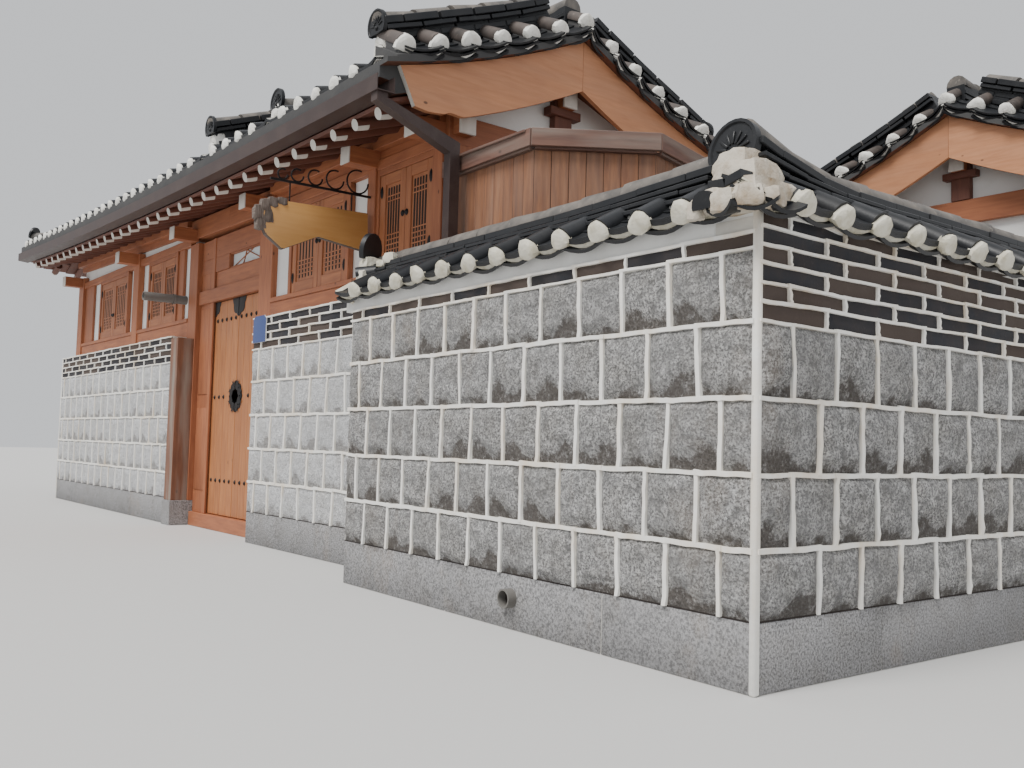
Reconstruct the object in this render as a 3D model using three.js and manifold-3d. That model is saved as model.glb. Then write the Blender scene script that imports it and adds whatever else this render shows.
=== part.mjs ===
// A tiled courtyard house with a stone yard wall, in millimetres, +Z up.
// The site frame has its origin at the outer corner of the yard wall, on the ground.
// The yard wall's front runs towards -X from there and its side towards +Y.
// The house itself stands in a frame of its own, turned a little against the yard wall.
import * as THREE from 'three';
import { mergeVertices } from 'three/addons/utils/BufferGeometryUtils.js';
import Module from 'manifold-3d';

const wasm = await Module();
wasm.setup();

// Clearances
const GAP = 0.3;
const SLIVER = 0.02;
const MOVING_GAP = 8;

// How far joined solids run into each other, and how far a cutting solid reaches past what it cuts
const LAP = 1;
const CUT = 50;

// Yard wall and its tiled coping
const YARD_FRONT_LENGTH = 3530;
const YARD_SIDE_END = 6150;
const YARD_RETURN_X = -887;
const YARD_RETURN_Y = 5730;
const YARD_WALL_THICK = 450;
const YARD_WALL_HEIGHT = 1950;
const COPING_REACH = 325;
const COPING_EAVE_Z = 2050;
const COPING_NECK_HALF = 110;
const COPING_NECK_Z = 2145;
const COPING_BODY_Z = 2245;
const COPING_SHOULDER = 20;
const COPING_CAP_INSET = 15;
const COPING_TOP_Z = 2320;
const COPING_OVERHANG = COPING_REACH - YARD_WALL_THICK / 2;
const END_TILE_WIDTH = 250;
const END_TILE_HEIGHT = 210;
const END_TILE_THICK = 45;
const CORNER_BLOCK = 300;
const CORNER_BLOCK_SETBACK = 60;
const CORNER_BLOCK_Z = 2250;
const CORNER_TILE_SETBACK = 100;
const CORNER_TILE_Z = 2215;

// House: turn against the yard wall, about the yard wall's far end
const HOUSE_TURN_DEG = 1.4;
const HOUSE_PIVOT = new THREE.Vector2(-YARD_FRONT_LENGTH, YARD_WALL_THICK + GAP);

// House plan: corners of the ridge line, gable to gable
const RIDGE_Y = 1690;
const NEAR_GABLE_X = -3000;
const LEFT_RIDGE_X = -12090;
const BACK_RIDGE_Y = 8000;
const RIGHT_RIDGE_X = -2000;
const REAR_GABLE_Y = 5280;

// Cross-section of a wing, measured outwards from the ridge
const TIMBER_FACE = 1090;
const WALL_FACE = 1030;
const WALL_BACK = 930;
const BASE_FACE = 1240;
const BASE_TOP_Z = 2110;
const SILL_TOP_Z = 2330;
const LINTEL_Z = 3170;
const PLATE_TOP_Z = 3392;
const FLOOR_Z = 400;

// Roof: bed of the tiles as z = RIDGE - SLOPE u + CURVE u2, with u in metres
const BED_RIDGE_Z = 4200;
const BED_SLOPE = 500;
const BED_CURVE = 70;
const EAVE_REACH = 1800;
const EAVE_DEPTH = 110;
const DECK_RIDGE_Z = 3915;
const DECK_SLOPE = 0.35;
const DECK_REACH = 1700;
const FASCIA_REACH = 1712;
const FASCIA_STEP = 5;
const LIFT = 300;
const FRONT_LIFT_REACH = 11000;
const SHORT_LIFT_REACH = 5000;
const ROOF_STEP = 500;
const WALL_STEP = 900;
const SLOPE_STEPS = 6;
const TOP_STEPS = 3;
const VERGE_DEPTH = 35;

// Rows of round tiles: half a row's section about its middle line, and where the rows lie
const ROW_HALF_SECTION = [[50, 0], [46, 46], [0, 75]];
const ROW_HALF = ROW_HALF_SECTION[0][0];
const ROW_SINK = 20;
const ROW_PITCH = 288;
const ROW_MARGIN = 480;
const ROW_END = 1775;
const ROW_LEAST = 160;

// Along a gable clay on the bed rises inwards, and short rows of tiles lie across it
const VERGE_CLAY_EDGE = 15;
const VERGE_CLAY_SLOPE = 0.5;
const VERGE_ROW_PITCH = 275;
const VERGE_ROWS_EACH_SIDE = 6;
const VERGE_ROW_OUT = 30;
const VERGE_ROW_LIFT = 47;
const VERGE_ROW_SINK = 80;

// Ridges of stacked tiles
const RIDGE_HALF = 120;
const RIDGE_SINK = 80;
const RIDGE_BODY_Z = 4490;
const RIDGE_SHOULDER = 60;
const RIDGE_CAP_INSET = 20;
const RIDGE_TOP_Z = 4600;
const SLOPE_RIDGE_HALF = 90;
const SLOPE_RIDGE_SINK = 60;
const SLOPE_RIDGE_END = 1725;
const HIP_RIDGE_HEIGHT = 240;
const VERGE_RIDGE_HEIGHT = 450;
const VERGE_RIDGE_S = 300;
const STREET_RIDGES = [{ s: 1926, height: 240 }, { s: 3372, height: VERGE_RIDGE_HEIGHT }];

// Gable ends
const BOARD_OUT = 60;
const BOARD_IN = 100;
const BOARD_DROP = 40;
const BOARD_DEPTH = 400;
const BOARD_TOP_END = 1664;
const BOARD_LOW_END = 1130;
const BOARD_FOOT = [[1538, 3269], [1319, 3264]];
const GABLE_FRAME_S = 290;
const GABLE_WALL_S = 350;
const GABLE_WALL_BACK_S = 450;
const STUB_S = 190;
const STUB_SIZE = 140;
const EAVE_STUB_U = 990;
const EAVE_STUB_Z = 3300;
const RIDGE_STUB_Z = 3730;
const KING_POST_HALF = 90;
const GABLE_EAVE_CLEAR = 20;

// Rafters
const RAFTER_HALF = 50;
const RAFTER_DEPTH = 125;
const RAFTER_PITCH = 325;
const RAFTER_FIRST = 292;
const RAFTER_START_U = 900;
const RAFTER_TIP_U = 1690;
const DECK_THICK = 50;
const DECK_SINK = 60;
const RAFTER_MITRE_MARGIN = 20;

// Street front, as stretches along the ridge line from the near gable
const CORNER_POST = [GABLE_WALL_S, 470];
const SIGN_POST = [1310, 1430];
const GATE_RIGHT_POST = [3270, 3560];
const GATE_LEFT_POST = [5248, 5500];
const BAY_POST = [7306, 7520];
const STREET_WINDOWS = [[510, 1280], [1818, 2860], [5984, 6928], [7868, 9060]];
const JAMB_WIDTH = 60;
const JAMB_RECESS = 10;
const SHUTTER_BACK = 40;
const SHUTTER_RECESS = 20;
const SHUTTER_SEAM_HALF = 4;
const SHUTTER_SEAM_DEPTH = 15;

// Repeated bays of the other sides
const POST_WIDTH = 240;
const POST_PITCH = 2100;
const DOOR_MARGIN = 260;
const DOOR_SILL_Z = 520;
const DOOR_TOP_Z = 2480;
const DOOR_HEAD = 150;
const DOOR_RECESS = 20;
const DOOR_BACK = 30;

// Gate
const GATE_HEAD = 150;
const GATE_HEAD_RECESS = 30;
const GATE_PANEL_RECESS = 60;
const THRESHOLD_RECESS = [40, 20];
const GATE_OPENING = [GATE_RIGHT_POST[1], 4850];
const THRESHOLD_Z = 150;
const GATE_TOP_Z = 2455;
const GATE_POST_BACK = 850;
const LEAF_FACE = 1010;
const LEAF_THICK = 50;
const LEAF_PIN_INSET = 50;
const LEAF_PIN_RADIUS = 12;
const LEAF_PIN_SIDES = 12;
const LEAF_MEETING_GAP = 9;
const LEAF_BATTENS_Z = [520, 1410, 2240];
const BATTEN_HALF = 45;
const BATTEN_THICK = 30;
const BATTEN_ENDS = [60, 40];
const TRANSOM = [3700, 4480];
const TRANSOM_Z = [2790, 2950];
const TRANSOM_RECESS = 40;
const END_BOARD_PROUD = 30;
const END_BOARD_WIDTH = 220;
const END_BOARD_TOP_Z = 2080;
const PASSAGE_WALL = 120;

// Plank bay under the near gable, in the house frame
const PLANK_BAY_X = NEAR_GABLE_X - GABLE_FRAME_S + GAP;
const PLANK_BAY_FACE = [[PLANK_BAY_X, 620], [-2310, 600], [-1850, 1250], [-2030, 1940], [PLANK_BAY_X, 2500]];
const PLANK_BAY_TOP_Z = 2900;
const PLANK_BAY_WALL = 60;
const PLANK_BAY_FLOOR = 30;
const RAIL_TOP_Z = 3020;
const RAIL_REACH = 60;

// Sign, gutter, downpipe and small fittings
const SIGN_X = -4380;
const SIGN_THICK = 60;
const SIGN_BAR_Z = 2950;
const SIGN_OUTLINE = [
  [530, 2820], [545, 2500], [100, 2560], [-190, 2420], [-330, 2520], [-420, 2700], [-180, 2800],
];
const SIGN_BAR = 24;
const SIGN_ARM_TIP = -300;
const SIGN_ARM_ROOT = 572;
const SIGN_HOOKS_Y = [-150, 380];
const SIGN_PLATE_THICK = 6;
const SIGN_PLATE_BELOW = 170;
const SIGN_PLATE_ABOVE = 200;
const GUTTER_START = 30;
const GUTTER_OUT = 55;
const GUTTER_BACK = 83;
const GUTTER_DROP = 5.4;
const GUTTER_DEPTH = 110;
const GUTTER_WALL = 6;
const PIPE_SIZE = 80;
const PIPE_S = 90;
const PIPE_U = 1200;
const PIPE_ELBOW_Z = 3050;
const PIPE_FOOT_Z = 2330;
const PIPE_SPLAY = 30;
const FLUE_S = 5620;
const FLUE_Z = 2550;
const FLUE_TIP_U = 1560;
const FLUE_RADIUS = 50;
const FLUE_WALL = 6;
const FLUE_SIDES = 16;
const PLATE_S = [2950, 3230];
const PLATE_Z = [1900, 2090];
const PLATE_THICK = 8;
const BELL_S = [3540, 3558];
const BELL_Z = [1750, 1950];
const BELL_THICK = 25;

const MATERIALS = {
  granite: new THREE.MeshStandardMaterial({ color: 0x98958f, roughness: 0.9, metalness: 0 }),
  wood: new THREE.MeshStandardMaterial({ color: 0xa55a36, roughness: 0.6, metalness: 0 }),
  board: new THREE.MeshStandardMaterial({ color: 0xbd7a4e, roughness: 0.6, metalness: 0 }),
  gate: new THREE.MeshStandardMaterial({ color: 0xb8653a, roughness: 0.55, metalness: 0 }),
  plaster: new THREE.MeshStandardMaterial({ color: 0xe6e2d6, roughness: 0.85, metalness: 0 }),
  tile: new THREE.MeshStandardMaterial({ color: 0x2e3034, roughness: 0.45, metalness: 0 }),
  iron: new THREE.MeshStandardMaterial({ color: 0x1d1b1b, roughness: 0.5, metalness: 0.6 }),
  gutter: new THREE.MeshStandardMaterial({ color: 0x4b3d38, roughness: 0.5, metalness: 0.3 }),
  plate: new THREE.MeshStandardMaterial({ color: 0x22336b, roughness: 0.4, metalness: 0 }),
};

// Solids

// Geometry to a manifold solid.
function solid(geometry) {
  const bare = geometry.clone();
  bare.deleteAttribute('normal');
  bare.deleteAttribute('uv');
  const merged = mergeVertices(bare, 0.001);
  return new wasm.Manifold(new wasm.Mesh({
    numProp: 3,
    vertProperties: new Float32Array(merged.attributes.position.array),
    triVerts: new Uint32Array(merged.index.array),
  }));
}

// Manifold solid back to geometry.
function surface(manifold) {
  const mesh = manifold.getMesh();
  const geometry = new THREE.BufferGeometry();
  geometry.setAttribute('position', new THREE.BufferAttribute(mesh.vertProperties, 3));
  geometry.setIndex(new THREE.BufferAttribute(mesh.triVerts, 1));
  geometry.computeVertexNormals();
  return geometry;
}

// Flat faces merged into as few triangles as they need, and slivers removed.
function tidied(manifold) {
  return manifold.asOriginal().simplify(SLIVER);
}

function join(...parts) {
  return surface(tidied(parts.map(solid).reduce((whole, part) => whole.add(part))));
}

function carve(body, ...tools) {
  return surface(tidied(tools.reduce((rest, tool) => rest.subtract(solid(tool)), solid(body))));
}

// What lies inside a limit, with every edge kept for bending afterwards.
function within(body, limit) {
  return surface(solid(body).intersect(solid(limit)));
}

function shifted(geometry, dx, dy, dz) {
  return geometry.clone().translate(dx, dy, dz);
}

// Box between pairs of limits.
function block([x0, x1], [y0, y1], [z0, z1]) {
  const geometry = new THREE.BoxGeometry(Math.abs(x1 - x0), Math.abs(y1 - y0), Math.abs(z1 - z0));
  return geometry.translate((x0 + x1) / 2, (y0 + y1) / 2, (z0 + z1) / 2);
}

function outline(points) {
  return new THREE.Shape(points.map(([a, b]) => new THREE.Vector2(a, b)));
}

// Outline in (x, y) raised from z0 to z1.
function plinth(points, [z0, z1]) {
  const geometry = new THREE.ExtrudeGeometry(outline(points), { depth: z1 - z0, bevelEnabled: false });
  return geometry.translate(0, 0, z0);
}

// Outline in (y, z) drawn along x from x0 to x1.
const ALONG_X = new THREE.Matrix4().makeBasis(
  new THREE.Vector3(0, 1, 0), new THREE.Vector3(0, 0, 1), new THREE.Vector3(1, 0, 0));

function alongX(points, [x0, x1], steps = 1) {
  const depth = x1 - x0;
  const geometry = new THREE.ExtrudeGeometry(outline(points), { depth, steps, bevelEnabled: false });
  return geometry.applyMatrix4(ALONG_X).translate(x0, 0, 0);
}

// Outline in (x, z) drawn along y from y0 to y1.
function alongY(points, [y0, y1], steps = 1) {
  const depth = y1 - y0;
  const geometry = new THREE.ExtrudeGeometry(outline(points), { depth, steps, bevelEnabled: false });
  return geometry.rotateX(Math.PI / 2).translate(0, y1, 0);
}

// Moves every vertex by a rule from its place to its new place.
function bend(geometry, rule) {
  const place = geometry.attributes.position;
  for (let i = 0; i < place.count; i += 1) {
    place.setXYZ(i, ...rule(place.getX(i), place.getY(i), place.getZ(i)));
  }
  return geometry;
}

function mesh(name, geometry, material) {
  const piece = new THREE.Mesh(geometry, material);
  piece.name = name;
  return piece;
}

// Points of a half circle over the span -half..half, on top of the level z.
function archOver(half, z, height, count = 6) {
  return Array.from({ length: count + 1 }, (_, i) => {
    const angle = (Math.PI * i) / count;
    return [half * Math.cos(angle), z + height * Math.sin(angle)];
  });
}

// Roof surfaces over a wing
function bedZ(u) {
  const metres = Math.abs(u) / 1000;
  return BED_RIDGE_Z - BED_SLOPE * metres + BED_CURVE * metres * metres;
}

function deckZ(u) {
  return DECK_RIDGE_Z - DECK_SLOPE * Math.abs(u);
}

// Section across a row of round tiles, about its middle line on the bed.
function rowSection(sink) {
  const half = ROW_HALF_SECTION.slice(0, -1);
  const mirrored = half.map(([a, z]) => [-a, z]).reverse();
  return [[-ROW_HALF, -sink], [ROW_HALF, -sink], ...ROW_HALF_SECTION, ...mirrored];
}

// Thickness of the clay over the bed, this far inwards from the tiles' edge at a gable.
function vergeClay(inward) {
  return VERGE_CLAY_EDGE + VERGE_CLAY_SLOPE * inward;
}

// Section across a ridge that runs down a slope.
function slopeRidgeSection(height) {
  return [
    [-SLOPE_RIDGE_HALF, -SLOPE_RIDGE_SINK], [SLOPE_RIDGE_HALF, -SLOPE_RIDGE_SINK],
    ...archOver(SLOPE_RIDGE_HALF, height - SLOPE_RIDGE_HALF, SLOPE_RIDGE_HALF, 4),
  ];
}

// A wing of the house: s runs along its ridge, u outwards from it (courtyard side negative).
class Wing {
  constructor(start, turnDeg, length, { hipStart, hipEnd, liftReach }) {
    Object.assign(this, { length, hipStart, hipEnd, liftReach });
    this.matrix = new THREE.Matrix4().makeRotationZ(THREE.MathUtils.degToRad(turnDeg));
    this.matrix.setPosition(start[0], start[1], 0);
  }

  inHouse(geometry) {
    return geometry.clone().applyMatrix4(this.matrix);
  }

  // Where the roof starts and ends along the wing at a given reach, short of the mitre by a margin.
  firstS(u, margin = GAP) {
    return this.hipStart ? margin - u : 0;
  }

  lastS(u, margin = GAP) {
    return this.hipEnd ? this.length + u - margin : this.length;
  }

  // How far the eave is raised near an outer corner, on either side of the mitre.
  lift(s, u) {
    if (u <= 0) {
      return 0;
    }
    const toStart = this.hipStart ? Math.abs(s + u) : Infinity;
    const toEnd = this.hipEnd ? Math.abs(this.length + u - s) : Infinity;
    const near = Math.max(0, 1 - Math.min(toStart, toEnd) / this.liftReach);
    const outwards = Math.max(u, -s, s - this.length);
    return LIFT * near * near * (outwards / EAVE_REACH);
  }

  // Plan of the outer slope between the mitres, up to a reach from the ridge.
  plan(reach, margin) {
    return [
      [this.firstS(reach) + margin, reach], [this.firstS(0) + margin, 0],
      [this.lastS(0) - margin, 0], [this.lastS(reach) - margin, reach],
    ];
  }

  roof(margin = GAP) {
    const top = Array.from({ length: 2 * TOP_STEPS + 1 }, (_, i) => {
      const u = EAVE_REACH * (i / TOP_STEPS - 1);
      return [u, bedZ(u)];
    });
    const tileFoot = bedZ(EAVE_REACH) - EAVE_DEPTH;
    const low = [
      [EAVE_REACH, tileFoot], [FASCIA_REACH, tileFoot - FASCIA_STEP], [DECK_REACH, deckZ(DECK_REACH)],
      [0, deckZ(0)], [-DECK_REACH, deckZ(DECK_REACH)], [-FASCIA_REACH, tileFoot - FASCIA_STEP],
      [-EAVE_REACH, tileFoot],
    ];
    const steps = Math.round(this.length / ROOF_STEP);
    const slab = bend(alongX([...top, ...low], [0, 1], steps), (t, u, z) => {
      const first = this.firstS(u, margin);
      const s = first + t * (this.lastS(u, margin) - first);
      return [s, u, z + this.lift(s, u)];
    });
    const ends = this.gableEnds();
    if (!ends.length) {
      return surface(solid(slab));
    }
    const beds = ends.map(({ at }) => this.vergeBed(at, margin));
    return carve(join(slab, ...beds), ...ends.map(({ at }) => this.vergeRebate(at)));
  }

  // Clay that rises from the tiles' edge at a gable to the ridge beside it.
  vergeBed(at, margin) {
    const inner = VERGE_RIDGE_S - margin;
    const top = [[at(0), vergeClay(0)], [at(inner), vergeClay(inner)]];
    const points = [[at(0), -ROW_SINK], ...top, [at(inner), -ROW_SINK]];
    const bed = alongY(points, [-SLOPE_RIDGE_END, SLOPE_RIDGE_END], 2 * TOP_STEPS);
    return bend(bed, (s, u, z) => [s, u, z + bedZ(u)]);
  }

  // Places along the wing of the rows on one slope: evenly between the ends, and on into a valley.
  rowPlaces(side) {
    const first = this.hipStart ? -side * EAVE_REACH : ROW_MARGIN;
    const last = this.hipEnd ? this.length + side * EAVE_REACH : this.length - ROW_MARGIN;
    const count = Math.round((last - first) / ROW_PITCH);
    const step = (last - first) / count;
    const before = this.hipStart && side < 0 ? Math.floor(first / step) : 0;
    const after = this.hipEnd && side < 0 ? Math.floor((this.length - last) / step) : 0;
    return Array.from({ length: before + count + after + 1 }, (_, i) => first + (i - before) * step);
  }

  // From where to where a row runs down its slope, clear of ridges, hips and valleys.
  rowSpan(s, side) {
    const hipClear = SLOPE_RIDGE_HALF * Math.SQRT2 + ROW_HALF + MOVING_GAP;
    const start = RIDGE_HALF + MOVING_GAP;
    if (side > 0) {
      return [Math.max(start, -s + hipClear, s - this.length + hipClear), ROW_END];
    }
    const toStart = this.hipStart ? s - ROW_HALF - MOVING_GAP : Infinity;
    const toEnd = this.hipEnd ? this.length - s - ROW_HALF - MOVING_GAP : Infinity;
    return [start, Math.min(ROW_END, toStart, toEnd)];
  }

  // Rows of round tiles down one slope, each sunk into the bed.
  slopeRows(side, ridges) {
    const clear = SLOPE_RIDGE_HALF + ROW_HALF + MOVING_GAP;
    const places = this.rowPlaces(side).filter((s) => ridges.every((ridge) => Math.abs(ridge.s - s) > clear));
    return places.flatMap((s) => {
      const [start, end] = this.rowSpan(s, side);
      if (end - start < ROW_LEAST) {
        return [];
      }
      const steps = Math.ceil((TOP_STEPS * (end - start)) / EAVE_REACH);
      const row = alongY(rowSection(ROW_SINK), side > 0 ? [start, end] : [-end, -start], steps);
      return [bend(row, (x, u, z) => [s + x, u, z + bedZ(u) + this.lift(s + x, u)])];
    });
  }

  // Short rows over the rising bed at a gable, whose ends face sideways.
  vergeRows(at) {
    const range = [at(VERGE_ROW_OUT), at(VERGE_RIDGE_S - SLOPE_RIDGE_HALF - MOVING_GAP)].sort((a, b) => a - b);
    const foot = (s) => VERGE_ROW_LIFT + vergeClay(Math.abs(s - at(0)));
    const rows = [];
    for (let i = -VERGE_ROWS_EACH_SIDE; i <= VERGE_ROWS_EACH_SIDE; i += 1) {
      const centre = i * VERGE_ROW_PITCH;
      const row = alongX(rowSection(VERGE_ROW_SINK), range);
      rows.push(bend(row, (s, u, z) => [s, centre + u, z + bedZ(centre + u) + foot(s)]));
    }
    return rows;
  }

  // The roof with its rows of tiles; ridges are those down the outer slope that rows give way to.
  tiledRoof(slab, ridges) {
    const verges = this.gableEnds().flatMap(({ at }) => this.vergeRows(at));
    return join(slab, ...this.slopeRows(1, ridges), ...this.slopeRows(-1, []), ...verges);
  }

  // At a gable the bargeboard covers the roof's edge, and only the tiles reach past it.
  vergeRebate(at) {
    const under = Array.from({ length: 2 * SLOPE_STEPS + 1 }, (_, i) => {
      const u = (EAVE_REACH + CUT) * (i / SLOPE_STEPS - 1);
      return [u, bedZ(u) - VERGE_DEPTH];
    });
    const low = deckZ(EAVE_REACH) - CUT;
    const points = [...under, [EAVE_REACH + CUT, low], [-EAVE_REACH - CUT, low]];
    const limits = [at(-CUT), at(BOARD_IN + GAP)].sort((a, b) => a - b);
    return alongX(points, limits);
  }

  // Each gable end with its own way to count inwards from the tiles' edge.
  gableEnds() {
    const ends = [];
    if (!this.hipStart) {
      ends.push({ at: (inward) => inward });
    }
    if (!this.hipEnd) {
      ends.push({ at: (inward) => this.length - inward });
    }
    return ends;
  }

  // Comb of rafters under the outer eave, cut at the mitres and against the slab's underside.
  rafters(slab) {
    const from = this.hipStart ? this.firstS(RAFTER_TIP_U) : BOARD_IN + MOVING_GAP;
    const to = this.hipEnd ? this.lastS(RAFTER_TIP_U) : this.length - BOARD_IN - MOVING_GAP;
    const firstIndex = Math.ceil((from + RAFTER_HALF - RAFTER_FIRST) / RAFTER_PITCH);
    const lastIndex = Math.floor((to - RAFTER_HALF - RAFTER_FIRST) / RAFTER_PITCH);
    const low = [];
    const top = [];
    for (let i = firstIndex; i <= lastIndex; i += 1) {
      const s = RAFTER_FIRST + i * RAFTER_PITCH;
      low.push([s - RAFTER_HALF, -DECK_THICK], [s - RAFTER_HALF / 2, -RAFTER_DEPTH]);
      low.push([s + RAFTER_HALF / 2, -RAFTER_DEPTH], [s + RAFTER_HALF, -DECK_THICK]);
      top.unshift([s, DECK_SINK]);
    }
    const points = [
      [to, DECK_SINK], ...top, [from, DECK_SINK], [from, -DECK_THICK], ...low, [to, -DECK_THICK],
    ];
    const comb = alongY(points, [RAFTER_START_U, RAFTER_TIP_U]);
    const clip = this.plan(RAFTER_TIP_U + CUT, RAFTER_MITRE_MARGIN);
    const cut = within(comb, plinth(clip, [-RAFTER_DEPTH - CUT, DECK_SINK + CUT]));
    bend(cut, (s, u, z) => [s, u, z + deckZ(u) + this.lift(s, u)]);
    return carve(cut, shifted(slab, 0, 0, -GAP));
  }

  mainRidge() {
    const atGable = VERGE_RIDGE_S - SLOPE_RIDGE_HALF;
    const from = this.hipStart ? RIDGE_HALF + GAP : atGable;
    const to = this.hipEnd ? this.length + RIDGE_HALF : this.length - atGable;
    const foot = BED_RIDGE_Z - RIDGE_SINK;
    const section = [
      [-RIDGE_HALF, foot], [RIDGE_HALF, foot], [RIDGE_HALF, RIDGE_BODY_Z - RIDGE_SHOULDER],
      ...archOver(RIDGE_HALF - RIDGE_CAP_INSET, RIDGE_BODY_Z, RIDGE_TOP_Z - RIDGE_BODY_Z),
      [-RIDGE_HALF, RIDGE_BODY_Z - RIDGE_SHOULDER],
    ];
    return alongX(section, [from, to]);
  }

  // Ridge that runs down a slope at one place along the wing.
  slopeRidge(place, side, height) {
    const span = side > 0 ? [0, SLOPE_RIDGE_END] : [-SLOPE_RIDGE_END, 0];
    const body = alongY(slopeRidgeSection(height), span, SLOPE_STEPS);
    return bend(body, (s, u, z) => [s + place, u, z + bedZ(u) + this.lift(place, u)]);
  }

  // Ridge that runs down to the outer corner at the wing's far end.
  hipRidge() {
    const body = alongX(slopeRidgeSection(HIP_RIDGE_HEIGHT), [0, SLOPE_RIDGE_END * Math.SQRT2], SLOPE_STEPS);
    return bend(body, (along, across, z) => {
      const s = this.length + (along - across) / Math.SQRT2;
      const u = (along + across) / Math.SQRT2;
      const centre = along / Math.SQRT2;
      return [s, u, z + bedZ(centre) + this.lift(this.length + centre, centre)];
    });
  }

  // All ridges of the wing in one, with extra ones down its outer slope.
  ridges(extra) {
    const verges = this.gableEnds().flatMap(({ at }) => [1, -1].map(
      (side) => this.slopeRidge(at(VERGE_RIDGE_S), side, VERGE_RIDGE_HEIGHT)));
    const hips = this.hipEnd ? [this.hipRidge()] : [];
    const outer = extra.map(({ s, height }) => this.slopeRidge(s, 1, height));
    return join(this.mainRidge(), ...verges, ...hips, ...outer);
  }

  // Outer or courtyard wall as a stepped section drawn along the wing, with the eave's lift on its top.
  wall(section, [s0, s1]) {
    const steps = Math.max(1, Math.round((s1 - s0) / WALL_STEP));
    return bend(alongX(section, [s0, s1], steps), (s, u, z) => this.raised(s, u, z));
  }

  raised(s, u, z) {
    const top = z > PLATE_TOP_Z - LAP ? this.lift(s, Math.max(0, u)) : 0;
    return [s, u, z + top];
  }
}

// Along a wing that runs towards +Y the outward side is -X, and so on round the house.
const WINGS = {
  front: new Wing([NEAR_GABLE_X, RIDGE_Y], 180, NEAR_GABLE_X - LEFT_RIDGE_X,
    { hipStart: false, hipEnd: true, liftReach: FRONT_LIFT_REACH }),
  left: new Wing([LEFT_RIDGE_X, RIDGE_Y], 90, BACK_RIDGE_Y - RIDGE_Y,
    { hipStart: true, hipEnd: true, liftReach: SHORT_LIFT_REACH }),
  back: new Wing([LEFT_RIDGE_X, BACK_RIDGE_Y], 0, RIGHT_RIDGE_X - LEFT_RIDGE_X,
    { hipStart: true, hipEnd: true, liftReach: SHORT_LIFT_REACH }),
  right: new Wing([RIGHT_RIDGE_X, BACK_RIDGE_Y], -90, BACK_RIDGE_Y - REAR_GABLE_Y,
    { hipStart: true, hipEnd: false, liftReach: SHORT_LIFT_REACH }),
};

// Yard wall
function yardWall() {
  const front = block([-YARD_FRONT_LENGTH, 0], [0, YARD_WALL_THICK], [0, YARD_WALL_HEIGHT]);
  const side = block([-YARD_WALL_THICK, 0], [YARD_WALL_THICK + GAP, YARD_SIDE_END], [0, YARD_WALL_HEIGHT]);
  const back = block([YARD_RETURN_X, -YARD_WALL_THICK + LAP], [YARD_RETURN_Y, YARD_SIDE_END],
    [0, YARD_WALL_HEIGHT]);
  return [
    mesh('yard_wall_front', front, MATERIALS.granite),
    mesh('yard_wall_side', join(side, back), MATERIALS.granite),
  ];
}

const COPING_SECTION = [
  [-COPING_REACH, YARD_WALL_HEIGHT + GAP], [COPING_REACH, YARD_WALL_HEIGHT + GAP],
  [COPING_REACH, COPING_EAVE_Z], [COPING_NECK_HALF, COPING_NECK_Z],
  [COPING_NECK_HALF, COPING_BODY_Z - COPING_SHOULDER],
  ...archOver(COPING_NECK_HALF - COPING_CAP_INSET, COPING_BODY_Z, COPING_TOP_Z - COPING_BODY_Z),
  [-COPING_NECK_HALF, COPING_BODY_Z - COPING_SHOULDER], [-COPING_NECK_HALF, COPING_NECK_Z],
  [-COPING_REACH, COPING_EAVE_Z],
];

// Upright end tile, round on top: outline across its face.
function endTilePoints(centre, z0, width, height) {
  const half = width / 2;
  const crown = archOver(half, z0 + height - half, half, 8).map(([a, z]) => [centre + a, z]);
  return [[centre - half, z0], [centre + half, z0], ...crown];
}

function copings() {
  const middle = YARD_WALL_THICK / 2;
  const front = alongX(COPING_SECTION, [-YARD_FRONT_LENGTH, -middle - COPING_REACH - GAP])
    .translate(0, middle, 0);
  const frontEnd = alongX(endTilePoints(middle, COPING_NECK_Z, END_TILE_WIDTH, END_TILE_HEIGHT),
    [-YARD_FRONT_LENGTH, -YARD_FRONT_LENGTH + END_TILE_THICK]);
  const side = alongY(COPING_SECTION, [-COPING_OVERHANG, YARD_SIDE_END + COPING_OVERHANG])
    .translate(-middle, 0, 0);
  const returnArm = alongX(COPING_SECTION, [YARD_RETURN_X, -middle])
    .translate(0, YARD_SIDE_END + COPING_OVERHANG - COPING_REACH, 0);
  const inner = -middle - CORNER_BLOCK / 2;
  const blockTop = block([inner, inner + CORNER_BLOCK], [CORNER_BLOCK_SETBACK - COPING_OVERHANG, middle],
    [YARD_WALL_HEIGHT + LAP, CORNER_BLOCK_Z]);
  const tileFace = CORNER_TILE_SETBACK - COPING_OVERHANG;
  const cornerEnd = alongY(endTilePoints(-middle, CORNER_TILE_Z, END_TILE_WIDTH, END_TILE_HEIGHT),
    [tileFace, tileFace + END_TILE_THICK]);
  const houseCorner = block([-YARD_FRONT_LENGTH - LAP, NEAR_GABLE_X - GABLE_FRAME_S + MOVING_GAP],
    [YARD_WALL_THICK - LAP, 2 * YARD_WALL_THICK], [0, COPING_TOP_Z + END_TILE_HEIGHT]);
  return [
    mesh('coping_front', carve(join(front, frontEnd), houseCorner), MATERIALS.tile),
    mesh('coping_side', join(side, returnArm, blockTop, cornerEnd), MATERIALS.tile),
  ];
}

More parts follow.
